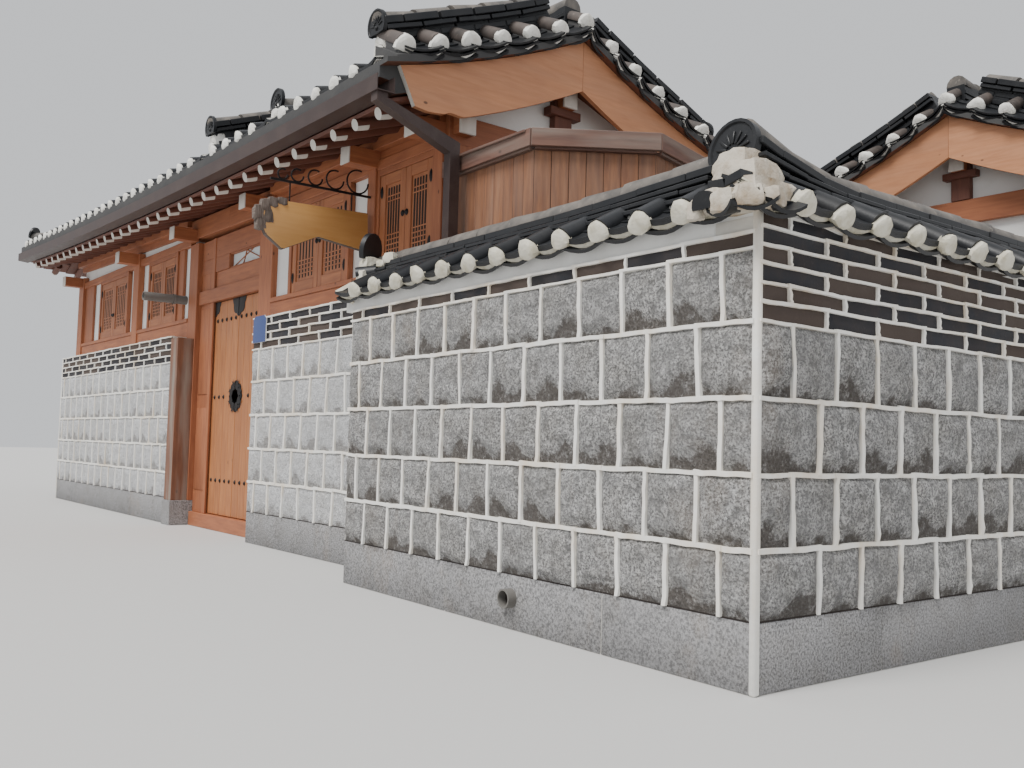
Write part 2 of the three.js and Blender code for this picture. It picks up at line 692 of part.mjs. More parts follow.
// Roofs, ridges and rafters
function roofs() {
  const pieces = [];
  const raisedSlabs = Object.values(WINGS).map((wing) => shifted(wing.inHouse(wing.roof(-LAP)), 0, 0, GAP));
  for (const [key, wing] of Object.entries(WINGS)) {
    const slab = wing.roof();
    const extra = wing === WINGS.front ? STREET_RIDGES : [];
    pieces.push(mesh(`roof_${key}`, wing.inHouse(wing.tiledRoof(slab, extra)), MATERIALS.tile));
    const ridges = wing.inHouse(wing.ridges(extra));
    pieces.push(mesh(`ridges_${key}`, carve(ridges, ...raisedSlabs), MATERIALS.tile));
    pieces.push(mesh(`rafters_${key}`, wing.inHouse(wing.rafters(slab)), MATERIALS.wood));
  }
  return pieces;
}

// Walls
const BASE_SECTION = [[BASE_FACE, 0], [WALL_BACK, 0], [WALL_BACK, BASE_TOP_Z], [BASE_FACE, BASE_TOP_Z]];
const UPPER_SECTION = [
  [WALL_BACK, BASE_TOP_Z - LAP], [WALL_BACK, PLATE_TOP_Z],
  [WALL_FACE, PLATE_TOP_Z], [WALL_FACE, BASE_TOP_Z - LAP],
];

// Stone base with the plaster wall on it; at a hip the base passes round the corner, the plaster stops short.
function outerWall(wing, [s0, s1]) {
  const plasterEnd = wing.hipEnd && s1 > wing.length ? s1 - (BASE_FACE - WALL_FACE) : s1;
  return join(alongX(BASE_SECTION, [s0, s1]), wing.wall(UPPER_SECTION, [s0, plasterEnd]));
}

function windowCut(range) {
  return block(range, [WALL_BACK - CUT, TIMBER_FACE + CUT], [SILL_TOP_Z, LINTEL_Z]);
}

// Timber frame in front of the upper wall: posts, sill and lintel in one, with open windows.
function frameOver(wing, [s0, s1], posts, windows) {
  const back = WALL_FACE + GAP;
  const lintel = [[back, LINTEL_Z], [back, PLATE_TOP_Z], [TIMBER_FACE, PLATE_TOP_Z], [TIMBER_FACE, LINTEL_Z]];
  const bars = [
    wing.wall(lintel, [s0, s1]),
    block([s0, s1], [back, TIMBER_FACE], [BASE_TOP_Z + GAP, SILL_TOP_Z]),
    ...posts.map(([a, b]) => block([a, b], [back, TIMBER_FACE], [BASE_TOP_Z + GAP, LINTEL_Z + LAP])),
  ];
  const jambs = windows.flatMap(([a, b]) => [[a - JAMB_WIDTH, a], [b, b + JAMB_WIDTH]])
    .map((range) => block(range, [back, TIMBER_FACE - JAMB_RECESS], [SILL_TOP_Z - LAP, LINTEL_Z + LAP]));
  return join(...bars, ...jambs);
}

// A closed pair of shutters, with a seam where its leaves meet.
function shutters([s0, s1]) {
  const middle = (s0 + s1) / 2;
  const body = block([s0 + GAP, s1 - GAP], [WALL_FACE - SHUTTER_BACK, TIMBER_FACE - SHUTTER_RECESS],
    [SILL_TOP_Z + GAP, LINTEL_Z - GAP]);
  const seam = block([middle - SHUTTER_SEAM_HALF, middle + SHUTTER_SEAM_HALF],
    [TIMBER_FACE - SHUTTER_RECESS - SHUTTER_SEAM_DEPTH, TIMBER_FACE], [SILL_TOP_Z - CUT, LINTEL_Z + CUT]);
  return carve(body, seam);
}

function streetFront() {
  const wing = WINGS.front;
  const timberCorner = wing.length + TIMBER_FACE;
  const rightRange = [GABLE_WALL_S, GATE_RIGHT_POST[0] - GAP];
  const leftRange = [GATE_LEFT_POST[1] + GAP, wing.length + BASE_FACE];
  const rightWindows = STREET_WINDOWS.slice(0, 2);
  const leftWindows = STREET_WINDOWS.slice(2);
  const right = carve(outerWall(wing, rightRange), ...rightWindows.map(windowCut));
  const left = carve(outerWall(wing, leftRange), ...leftWindows.map(windowCut));
  const rightFrame = frameOver(wing, rightRange, [CORNER_POST, SIGN_POST], rightWindows);
  const leftFrame = frameOver(wing, [leftRange[0], timberCorner],
    [BAY_POST, [timberCorner - POST_WIDTH, timberCorner]], leftWindows);
  return [
    mesh('street_wall_right', wing.inHouse(right), MATERIALS.granite),
    mesh('street_wall_left', wing.inHouse(left), MATERIALS.granite),
    mesh('street_frame_right', wing.inHouse(rightFrame), MATERIALS.wood),
    mesh('street_frame_left', wing.inHouse(leftFrame), MATERIALS.wood),
    ...STREET_WINDOWS.map((range, i) => mesh(
      `street_shutters_${i + 1}`, wing.inHouse(shutters(range)), MATERIALS.wood)),
  ];
}

// Posts evenly along a stretch, the first and last flush with its ends.
function evenPosts([s0, s1], width, pitch) {
  const count = Math.max(1, Math.round((s1 - s0 - width) / pitch));
  const step = (s1 - s0 - width) / count;
  return Array.from({ length: count + 1 }, (_, i) => [s0 + i * step, s0 + i * step + width]);
}

// The bays between neighbouring posts.
function baysOf(posts) {
  return posts.slice(1).map(([start], i) => [posts[i][1], start]);
}

// Plain outer wall of a side that faces a neighbour: stone base, plaster above, and its timbers.
function partyWall(name, wing, [s0, s1]) {
  const timber = [s0, wing.hipEnd ? s1 - (BASE_FACE - TIMBER_FACE) : s1];
  const posts = evenPosts(timber, POST_WIDTH, POST_PITCH);
  const upper = [
    [WALL_BACK, BASE_TOP_Z - LAP], [WALL_BACK, PLATE_TOP_Z], [TIMBER_FACE, PLATE_TOP_Z],
    [TIMBER_FACE, LINTEL_Z], [WALL_FACE, LINTEL_Z], [WALL_FACE, BASE_TOP_Z - LAP],
  ];
  const pieces = [
    alongX(BASE_SECTION, [s0, s1]),
    wing.wall(upper, timber),
    block(timber, [WALL_FACE - LAP, TIMBER_FACE], [BASE_TOP_Z - LAP, SILL_TOP_Z]),
    ...posts.map((range) => block(range, [WALL_FACE - LAP, TIMBER_FACE], [BASE_TOP_Z - LAP, LINTEL_Z + LAP])),
  ];
  return mesh(name, wing.inHouse(join(...pieces)), MATERIALS.granite);
}

// Courtyard front: plaster wall with its timbers, and a pair of doors in each bay.
function courtFront(name, wing, [s0, s1]) {
  const posts = evenPosts([s0, s1], POST_WIDTH, POST_PITCH);
  const doors = baysOf(posts).map(([a, b]) => [a + DOOR_MARGIN, b - DOOR_MARGIN]);
  const wall = block([s0, s1], [-WALL_FACE, -WALL_BACK], [0, PLATE_TOP_Z]);
  const proud = [-TIMBER_FACE, -WALL_FACE + LAP];
  const through = [-WALL_FACE - CUT, -WALL_BACK + CUT];
  const recessed = [-WALL_FACE + DOOR_RECESS, -WALL_BACK - DOOR_BACK];
  const holes = doors.map((range) => block(range, through, [DOOR_SILL_Z, DOOR_TOP_Z]));
  const leaves = doors.map(([a, b]) => block([a - LAP, b + LAP], recessed,
    [DOOR_SILL_Z - LAP, DOOR_TOP_Z + LAP]));
  const bars = [
    block([s0, s1], proud, [LINTEL_Z, PLATE_TOP_Z]),
    block([s0, s1], proud, [FLOOR_Z, DOOR_SILL_Z]),
    block([s0, s1], proud, [DOOR_TOP_Z, DOOR_TOP_Z + DOOR_HEAD]),
    ...posts.map((range) => block(range, proud, [0, LINTEL_Z + LAP])),
  ];
  return mesh(name, wing.inHouse(join(carve(wall, ...holes), ...leaves, ...bars)), MATERIALS.wood);
}

function sideWalls() {
  const { front, left, back, right } = WINGS;
  const cornerStart = -WALL_BACK + GAP;
  const rearGable = right.length - GABLE_WALL_BACK_S - GAP;
  return [
    partyWall('left_wall', left, [cornerStart, left.length + BASE_FACE]),
    partyWall('back_wall', back, [cornerStart, back.length + BASE_FACE]),
    partyWall('right_wall', right, [cornerStart, rearGable]),
    courtFront('court_front_right', front, [GABLE_WALL_BACK_S + GAP, GATE_RIGHT_POST[0]]),
    courtFront('court_front_left', front, [GATE_LEFT_POST[1], front.length - WALL_BACK]),
    courtFront('court_left', left, [TIMBER_FACE + GAP, left.length - WALL_BACK]),
    courtFront('court_back', back, [TIMBER_FACE + GAP, back.length - WALL_BACK]),
    courtFront('court_right', right, [TIMBER_FACE + GAP, rearGable]),
  ];
}

// Raised floors of the rooms, and the walls beside the gate passage.
function floors() {
  const { front, left, back, right } = WINGS;
  const across = [-WALL_BACK + GAP, WALL_BACK - GAP];
  const level = [0, FLOOR_Z];
  const room = (wing, range) => wing.inHouse(block(range, across, level));
  const round = join(
    room(front, [GATE_LEFT_POST[1] + PASSAGE_WALL + GAP, front.length + WALL_BACK - GAP]),
    room(left, [0, left.length]),
    room(back, [-WALL_BACK + GAP, back.length + WALL_BACK - GAP]),
    room(right, [0, right.length - GABLE_WALL_BACK_S - GAP]),
  );
  const sides = [
    ['passage_wall_right', [GATE_RIGHT_POST[0] - PASSAGE_WALL, GATE_RIGHT_POST[0] - GAP]],
    ['passage_wall_left', [GATE_LEFT_POST[1] + GAP, GATE_LEFT_POST[1] + PASSAGE_WALL]],
  ];
  return [
    mesh('floor_right_room', room(front, [GABLE_WALL_BACK_S + GAP, GATE_RIGHT_POST[0] - PASSAGE_WALL - GAP]),
      MATERIALS.granite),
    mesh('floor_rooms', round, MATERIALS.granite),
    ...sides.map(([name, range]) => mesh(name, front.inHouse(block(range, across, [0, PLATE_TOP_Z])),
      MATERIALS.plaster)),
  ];
}

// Gable wall up to the roof, with its timbers on the face: corner posts, tie beam, king post,
// and the ends of the purlins, which reach out under the verge.
function gable(prefix, wing, at) {
  const range = (from, to) => [at(from), at(to)].sort((a, b) => a - b);
  const half = WALL_BACK - GAP;
  const soffit = (u) => deckZ(u) - GAP;
  const eave = deckZ(half) - RAFTER_DEPTH - GABLE_EAVE_CLEAR;
  const step = RAFTER_START_U - MOVING_GAP;
  const wallPoints = [
    [-half, 0], [half, 0], [half, eave], [step, eave], [step, soffit(step)], [0, soffit(0)],
    [-step, soffit(step)], [-step, eave], [-half, eave],
  ];
  const wall = alongX(wallPoints, range(GABLE_WALL_S, GABLE_WALL_BACK_S));
  const depth = range(GABLE_FRAME_S, GABLE_WALL_S - GAP);
  const stubs = [[-EAVE_STUB_U, EAVE_STUB_Z], [EAVE_STUB_U, EAVE_STUB_Z], [0, RIDGE_STUB_Z]].map(([u, z]) =>
    block(range(STUB_S, GABLE_WALL_S - GAP), [u - STUB_SIZE / 2, u + STUB_SIZE / 2],
      [z - STUB_SIZE / 2, z + STUB_SIZE / 2]));
  const timbers = [
    block(depth, [-TIMBER_FACE, TIMBER_FACE], [LINTEL_Z, PLATE_TOP_Z]),
    block(depth, [-TIMBER_FACE, TIMBER_FACE], [BASE_TOP_Z + GAP, SILL_TOP_Z]),
    block(depth, [-TIMBER_FACE, -TIMBER_FACE + POST_WIDTH], [0, LINTEL_Z + LAP]),
    block(depth, [TIMBER_FACE - POST_WIDTH, TIMBER_FACE], [BASE_TOP_Z + GAP, LINTEL_Z + LAP]),
    block(depth, [-KING_POST_HALF, KING_POST_HALF], [PLATE_TOP_Z - LAP, RIDGE_STUB_Z]),
  ];
  return [
    mesh(`${prefix}_wall`, wing.inHouse(wall), MATERIALS.plaster),
    mesh(`${prefix}_frame`, wing.inHouse(join(...timbers, ...stubs)), MATERIALS.wood),
    mesh(`${prefix}_bargeboards`, wing.inHouse(bargeboards(range(BOARD_OUT, BOARD_IN))), MATERIALS.board),
  ];
}

// A pair of boards that follow the roof's slope and meet at the apex, each with a shaped foot.
function bargeboards(range) {
  const along = (end) => Array.from({ length: SLOPE_STEPS }, (_, i) => end * (1 - i / SLOPE_STEPS));
  const top = along(BOARD_TOP_END).map((u) => [u, bedZ(u) - BOARD_DROP]);
  const low = along(BOARD_LOW_END).map((u) => [u, bedZ(u) - BOARD_DROP - BOARD_DEPTH]);
  const half = [...low.reverse(), ...BOARD_FOOT.slice().reverse(), ...top];
  const mirrored = half.map(([u, z]) => [-u, z]).reverse();
  const apex = [0, bedZ(0) - BOARD_DROP];
  return alongX([[0, apex[1] - BOARD_DEPTH], ...half, apex, ...mirrored], range);
}

// Gate: two posts on the ground, threshold, head with its transom, and boards on the stone walls' ends.
function gate() {
  const wing = WINGS.front;
  const [left, right] = [GATE_LEFT_POST, GATE_RIGHT_POST];
  const depth = [GATE_POST_BACK, TIMBER_FACE];
  const across = [right[1] - LAP, left[0] + LAP];
  const panel = [GATE_POST_BACK + GATE_PANEL_RECESS, TIMBER_FACE - GATE_PANEL_RECESS];
  const [sillBack, sillFace] = THRESHOLD_RECESS;
  const boards = [right, left].map(([start, end]) => {
    const first = (start + end - END_BOARD_WIDTH) / 2;
    return block([first, first + END_BOARD_WIDTH], [TIMBER_FACE - LAP, BASE_FACE + END_BOARD_PROUD],
      [0, END_BOARD_TOP_Z]);
  });
  const frame = join(
    ...boards,
    block(right, depth, [0, LINTEL_Z + LAP]),
    block(left, depth, [0, LINTEL_Z + LAP]),
    block([right[0], left[1]], depth, [LINTEL_Z, PLATE_TOP_Z]),
    block(across, [GATE_POST_BACK + sillBack, TIMBER_FACE - sillFace], [0, THRESHOLD_Z]),
    block([GATE_OPENING[1], across[1]], panel, [THRESHOLD_Z - LAP, LINTEL_Z + LAP]),
    block([across[0], GATE_OPENING[1] + LAP], panel, [GATE_TOP_Z, LINTEL_Z + LAP]),
    block(across, [panel[1] - LAP, TIMBER_FACE - GATE_HEAD_RECESS], [GATE_TOP_Z, GATE_TOP_Z + GATE_HEAD]),
  );
  const transom = block(TRANSOM, [panel[1] - TRANSOM_RECESS, TIMBER_FACE + CUT], TRANSOM_Z);
  return mesh('gate_frame', wing.inHouse(carve(frame, transom)), MATERIALS.wood);
}

// One gate leaf; side is 1 for the leaf on the right post and -1 for the one on the left.
function gateLeaf(name, side) {
  const wing = WINGS.front;
  const [jamb, middle] = side > 0
    ? [GATE_OPENING[0] + MOVING_GAP, (GATE_OPENING[0] + GATE_OPENING[1] - LEAF_MEETING_GAP) / 2]
    : [GATE_OPENING[1] - MOVING_GAP, (GATE_OPENING[0] + GATE_OPENING[1] + LEAF_MEETING_GAP) / 2];
  const range = [jamb, middle].sort((a, b) => a - b);
  const axis = leafAxis(side);
  const back = LEAF_FACE - LEAF_THICK;
  const panel = block(range, [back, LEAF_FACE], [THRESHOLD_Z + MOVING_GAP, GATE_TOP_Z - MOVING_GAP]);
  const pins = [
    [THRESHOLD_Z + GAP, THRESHOLD_Z + 2 * MOVING_GAP],
    [GATE_TOP_Z - 2 * MOVING_GAP, GATE_TOP_Z - GAP],
  ];
  const pegs = pins.map(([z0, z1]) => {
    const peg = new THREE.CylinderGeometry(LEAF_PIN_RADIUS, LEAF_PIN_RADIUS, z1 - z0, LEAF_PIN_SIDES);
    return peg.rotateX(Math.PI / 2).translate(axis.x, axis.y, (z0 + z1) / 2);
  });
  const battens = LEAF_BATTENS_Z.map((z) => block([range[0] + BATTEN_ENDS[0], range[1] - BATTEN_ENDS[1]],
    [back - BATTEN_THICK, back + LAP], [z - BATTEN_HALF, z + BATTEN_HALF]));
  return mesh(name, wing.inHouse(join(panel, ...pegs, ...battens)), MATERIALS.gate);
}

// The leaf's turning axis in the front wing's own directions.
function leafAxis(side) {
  const s = side > 0 ? GATE_OPENING[0] + LEAF_PIN_INSET : GATE_OPENING[1] - LEAF_PIN_INSET;
  return new THREE.Vector2(s, LEAF_FACE - LEAF_THICK + LEAF_PIN_RADIUS);
}

// Plank bay on the near gable, with its capping rail.
function plankBay() {
  const face = PLANK_BAY_FACE;
  const shell = plinth(face, [BASE_TOP_Z, PLANK_BAY_TOP_Z]);
  const middle = face.reduce(([x, y], [a, b]) => [x + a / face.length, y + b / face.length], [0, 0]);
  const scaled = (amount) => face.map(([x, y]) => {
    const away = new THREE.Vector2(x - middle[0], y - middle[1]);
    const grown = away.clone().setLength(away.length() + amount);
    return [Math.max(x <= face[0][0] ? face[0][0] : -Infinity, middle[0] + grown.x), middle[1] + grown.y];
  });
  const hollow = plinth(scaled(-PLANK_BAY_WALL), [BASE_TOP_Z + PLANK_BAY_FLOOR, PLANK_BAY_TOP_Z + CUT]);
  const rail = plinth(scaled(RAIL_REACH), [PLANK_BAY_TOP_Z + GAP, RAIL_TOP_Z]);
  return [
    mesh('plank_bay', carve(shell, hollow), MATERIALS.board),
    mesh('plank_bay_rail', rail, MATERIALS.wood),
  ];
}

// Eave gutter of the street front: a box channel under the tiles' edge that follows the lift.
function gutter() {
  const wing = WINGS.front;
  const out = EAVE_REACH + GUTTER_OUT;
  const back = EAVE_REACH - GUTTER_BACK;
  const top = bedZ(EAVE_REACH) - EAVE_DEPTH - GUTTER_DROP;
  const foot = top - GUTTER_DEPTH;
  const section = [
    [back, top], [back, foot], [out, foot], [out, top],
    [out - GUTTER_WALL, top], [out - GUTTER_WALL, foot + GUTTER_WALL],
    [back + GUTTER_WALL, foot + GUTTER_WALL], [back + GUTTER_WALL, top],
  ];
  const straight = alongX(section, [GUTTER_START, wing.length + back], Math.round(wing.length / ROOF_STEP));
  const channel = bend(straight, (s, u, z) => [s, u, z + wing.lift(s, u)]);
  return mesh('street_gutter', wing.inHouse(channel), MATERIALS.gutter);
}

// Rain pipe from the gutter's near end, back under the eave and down beside the corner post.
function rainPipe() {
  const wing = WINGS.front;
  const gutterFoot = bedZ(EAVE_REACH) - EAVE_DEPTH - GUTTER_DROP - GUTTER_DEPTH;
  const half = PIPE_SIZE / 2;
  const slant = alongX([[EAVE_REACH - half, gutterFoot - GAP], [EAVE_REACH + half, gutterFoot - GAP],
    [EAVE_REACH + half, gutterFoot - 2 * PIPE_SPLAY], [PIPE_U + half, PIPE_ELBOW_Z - half],
    [PIPE_U - half, PIPE_ELBOW_Z - half], [PIPE_U - half, PIPE_ELBOW_Z + half],
    [EAVE_REACH - half, gutterFoot - PIPE_SPLAY]], [PIPE_S - half, PIPE_S + half]);
  const down = block([PIPE_S - half, PIPE_S + half], [PIPE_U - half, PIPE_U + half],
    [PIPE_FOOT_Z, PIPE_ELBOW_Z]);
  return mesh('rain_pipe', wing.inHouse(join(slant, down)), MATERIALS.gutter);
}

// Open flue stub that sticks out of the wall beside the gate.
function flueStub() {
  const round = (radius, [u0, u1]) => new THREE.CylinderGeometry(radius, radius, u1 - u0, FLUE_SIDES)
    .translate(FLUE_S, (u0 + u1) / 2, FLUE_Z);
  const root = WALL_FACE + GAP;
  const tube = round(FLUE_RADIUS, [root, FLUE_TIP_U]);
  const bore = round(FLUE_RADIUS - FLUE_WALL, [root + CUT, FLUE_TIP_U + CUT]);
  return mesh('flue_stub', WINGS.front.inHouse(carve(tube, bore)), MATERIALS.gutter);
}

// Height of the sign's upper edge at a place along it.
function signTopZ(y) {
  const [[yA, zA], [yB, zB]] = [SIGN_OUTLINE[0], SIGN_OUTLINE[SIGN_OUTLINE.length - 1]];
  return zA + ((zB - zA) * (y - yA)) / (yB - yA);
}

// Things fixed to the street front.
function fittings() {
  const wing = WINGS.front;
  const signBoard = alongX(SIGN_OUTLINE, [SIGN_X - SIGN_THICK / 2, SIGN_X + SIGN_THICK / 2]);
  const bar = [SIGN_X - SIGN_BAR / 2, SIGN_X + SIGN_BAR / 2];
  const arm = join(
    block(bar, [SIGN_ARM_TIP, SIGN_ARM_ROOT], [SIGN_BAR_Z, SIGN_BAR_Z + SIGN_BAR]),
    block([SIGN_X - SIGN_BAR, SIGN_X + SIGN_BAR], [SIGN_ARM_ROOT - LAP, SIGN_ARM_ROOT + SIGN_PLATE_THICK],
      [SIGN_BAR_Z - SIGN_PLATE_BELOW, SIGN_BAR_Z + SIGN_PLATE_ABOVE]),
    ...SIGN_HOOKS_Y.map((y) => block(bar, [y, y + SIGN_BAR],
      [signTopZ(y + SIGN_BAR) + GAP, SIGN_BAR_Z + LAP])),
  );
  return {
    onSite: [mesh('sign_board', signBoard, MATERIALS.board), mesh('sign_bracket', arm, MATERIALS.iron)],
    onHouse: [
      gutter(), rainPipe(), flueStub(),
      mesh('number_plate', wing.inHouse(block(PLATE_S, [BASE_FACE + GAP, BASE_FACE + PLATE_THICK], PLATE_Z)),
        MATERIALS.plate),
      mesh('door_bell', wing.inHouse(block(BELL_S, [TIMBER_FACE + GAP, TIMBER_FACE + BELL_THICK], BELL_Z)),
        MATERIALS.plaster),
    ],
  };
}

const site = new THREE.Group();
site.add(...yardWall(), ...copings());
const house = new THREE.Group();
house.add(
  ...roofs(), ...streetFront(), ...sideWalls(), ...floors(), gate(),
  gateLeaf('gate_leaf_right', 1), gateLeaf('gate_leaf_left', -1),
  ...gable('near_gable', WINGS.front, (inward) => inward),
  ...gable('rear_gable', WINGS.right, (inward) => WINGS.right.length - inward),
  ...plankBay(),
);
const fixed = fittings();
site.add(...fixed.onSite);
house.add(...fixed.onHouse);
const turn = THREE.MathUtils.degToRad(HOUSE_TURN_DEG);
const pivotTurned = HOUSE_PIVOT.clone().rotateAround(new THREE.Vector2(), turn);
house.rotation.z = turn;
house.position.set(HOUSE_PIVOT.x - pivotTurned.x, HOUSE_PIVOT.y - pivotTurned.y, 0);
site.add(house);

// The part's origin is the middle of its box, on the ground.
const part = new THREE.Group();
part.add(site);
part.updateMatrixWorld(true);
const box = new THREE.Box3().setFromObject(part, true);
site.position.set(-(box.min.x + box.max.x) / 2, -(box.min.y + box.max.y) / 2, -box.min.z);

export default part;
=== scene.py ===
"""A tiled courtyard house behind a granite yard wall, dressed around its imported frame.

All sizes are in metres. The site's own frame starts at the outer corner of the yard wall, on the
ground; the house stands in a frame that is turned a little against it.
"""
import logging
import math
import random
from dataclasses import dataclass, field
from enum import Enum
from typing import Callable, Sequence

import bmesh
import bpy
import numpy as np
from mathutils import Matrix, Vector, noise


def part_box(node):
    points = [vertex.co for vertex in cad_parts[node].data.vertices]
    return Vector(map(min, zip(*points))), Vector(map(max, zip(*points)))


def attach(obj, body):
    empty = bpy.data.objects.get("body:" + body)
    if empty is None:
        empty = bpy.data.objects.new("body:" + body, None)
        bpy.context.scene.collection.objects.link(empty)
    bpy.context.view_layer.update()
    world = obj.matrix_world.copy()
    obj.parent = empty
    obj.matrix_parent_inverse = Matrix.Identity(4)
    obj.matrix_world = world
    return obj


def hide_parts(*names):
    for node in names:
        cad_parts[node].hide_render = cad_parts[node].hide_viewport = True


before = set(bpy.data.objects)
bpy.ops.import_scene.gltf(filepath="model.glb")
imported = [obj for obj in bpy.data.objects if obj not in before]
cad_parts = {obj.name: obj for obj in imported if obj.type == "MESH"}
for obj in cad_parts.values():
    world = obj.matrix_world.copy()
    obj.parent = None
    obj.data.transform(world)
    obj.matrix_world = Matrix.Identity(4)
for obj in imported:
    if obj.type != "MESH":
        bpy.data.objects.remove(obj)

LOG = logging.getLogger("house")
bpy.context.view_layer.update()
HOUSE_BODY = "house"

Colour = tuple[float, float, float]
Span = tuple[float, float]


# Places


def _site_origin() -> Vector:
    """Gives the outer corner of the yard wall, on the ground."""
    low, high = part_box("yard_wall_front")
    return Vector((high.x, low.y, 0.0))


SITE = Matrix.Translation(_site_origin())
HOUSE_TURN = math.radians(1.4)
HOUSE_PIVOT = Vector((-3.530, 0.4503, 0.0))
HOUSE = (SITE @ Matrix.Translation(HOUSE_PIVOT) @ Matrix.Rotation(HOUSE_TURN, 4, "Z")
         @ Matrix.Translation(-HOUSE_PIVOT))

EAVE_REACH = 1.80
TIMBER_FACE = 1.09
WALL_FACE = 1.03
WALL_BACK = 0.93
BASE_FACE = 1.24
BASE_TOP = 2.11
SILL_TOP = 2.33
LINTEL = 3.17
PLATE_TOP = 3.392
STONE_TOPS = (0.290, 0.573, 0.881, 1.196, 1.513, 1.815)
BRICK_TOPS = (1.889, 1.963, 2.037, 2.108)
GATE_SPAN = (3.27, 5.50)
GABLE_WALL = 0.451
BED_TOP = 4.20
BED_FALL = 0.50
BED_CURVE = 0.07
DECK_TOP = 3.915
DECK_FALL = 0.35
UP = Vector((0.0, 0.0, 1.0))
TO_X = (0.0, math.radians(90), 0.0)
TO_Y = (math.radians(-90), 0.0, 0.0)
TO_BACK = (math.radians(90), 0.0, 0.0)


def curved_slope(top: float, reach: float) -> float:
    """Gives the height, at a reach, of a slope that falls from a height in the roofs' curve."""
    return top - BED_FALL * reach + BED_CURVE * reach * reach


def skyward(way: Vector) -> Vector:
    """Makes a direction one metre long and turns it so that it points up."""
    unit = way.normalized()
    return unit if unit.z > 0 else -unit


@dataclass(frozen=True)
class Wing:
    """One wing of the house: s runs along its ridge, u outwards from it."""

    name: str
    start: tuple[float, float]
    turn: float
    length: float
    hip_start: bool
    hip_end: bool
    lift_reach: float
    lift_height: float = 0.30

    @property
    def matrix(self) -> Matrix:
        """Turns the wing's own places into the part's frame."""
        place = Matrix.Translation((*self.start, 0.0))
        return HOUSE @ place @ Matrix.Rotation(math.radians(self.turn), 4, "Z")

    def lift(self, s: float, u: float) -> float:
        """Says how far the eave is raised at a place.

        Args:
            s: Distance along the ridge.
            u: Distance outwards from the ridge.

        Returns:
            The rise, which is nothing on the courtyard side.
        """
        if u <= 0:
            return 0.0
        to_start = abs(s + u) if self.hip_start else math.inf
        to_end = abs(self.length + u - s) if self.hip_end else math.inf
        near = max(0.0, 1 - min(to_start, to_end) / self.lift_reach)
        outwards = max(u, -s, s - self.length)
        return self.lift_height * near * near * outwards / EAVE_REACH

    def bed(self, s: float, u: float) -> float:
        """Gives the height of the bed under the tiles."""
        return curved_slope(BED_TOP, abs(u)) + self.lift(s, u)

    def deck(self, s: float, u: float) -> float:
        """Gives the height of the boards that the rafters carry."""
        return DECK_TOP - DECK_FALL * abs(u) + self.lift(s, u)

    def span(self, u: float) -> Span:
        """Gives where the roof starts and ends along the wing at a reach."""
        first = -u if self.hip_start else 0.0
        last = self.length + u if self.hip_end else self.length
        return first, last

    def gables(self) -> list[Callable[[float], float]]:
        """Gives, for each gable end, the way to count inwards from its edge."""
        ends: list[Callable[[float], float]] = []
        if not self.hip_start:
            ends.append(lambda inward: inward)
        if not self.hip_end:
            ends.append(lambda inward: self.length - inward)
        return ends


FRONT = Wing("front", (-3.0, 1.69), 180.0, 9.09, False, True, 11.0)
LEFT = Wing("left", (-12.09, 1.69), 90.0, 6.31, True, True, 5.0)
BACK = Wing("back", (-12.09, 8.0), 0.0, 10.09, True, True, 5.0)
RIGHT = Wing("right", (-2.0, 8.0), -90.0, 2.72, True, False, 5.0)


def heading(start: Vector, end: Vector, up: Vector = UP, scale: float = 1.0) -> Matrix:
    """Makes the place of something that lies from one point to another.

    Args:
        start: Where it starts.
        end: Where it ends.
        up: Roughly its upper side.
        scale: How much its length is stretched.

    Returns:
        A matrix whose X axis points from start to end, with its origin halfway.
    """
    along = (end - start).normalized()
    across = up.cross(along).normalized()
    top = along.cross(across)
    turn = Matrix((along * scale, across, top)).transposed()
    return Matrix.Translation((start + end) / 2) @ turn.to_4x4()


def grown(x: float, y: float, z: float) -> Matrix:
    """Makes the matrix that stretches a pattern along its own axes."""
    return Matrix.Diagonal((x, y, z, 1))


# Modelling


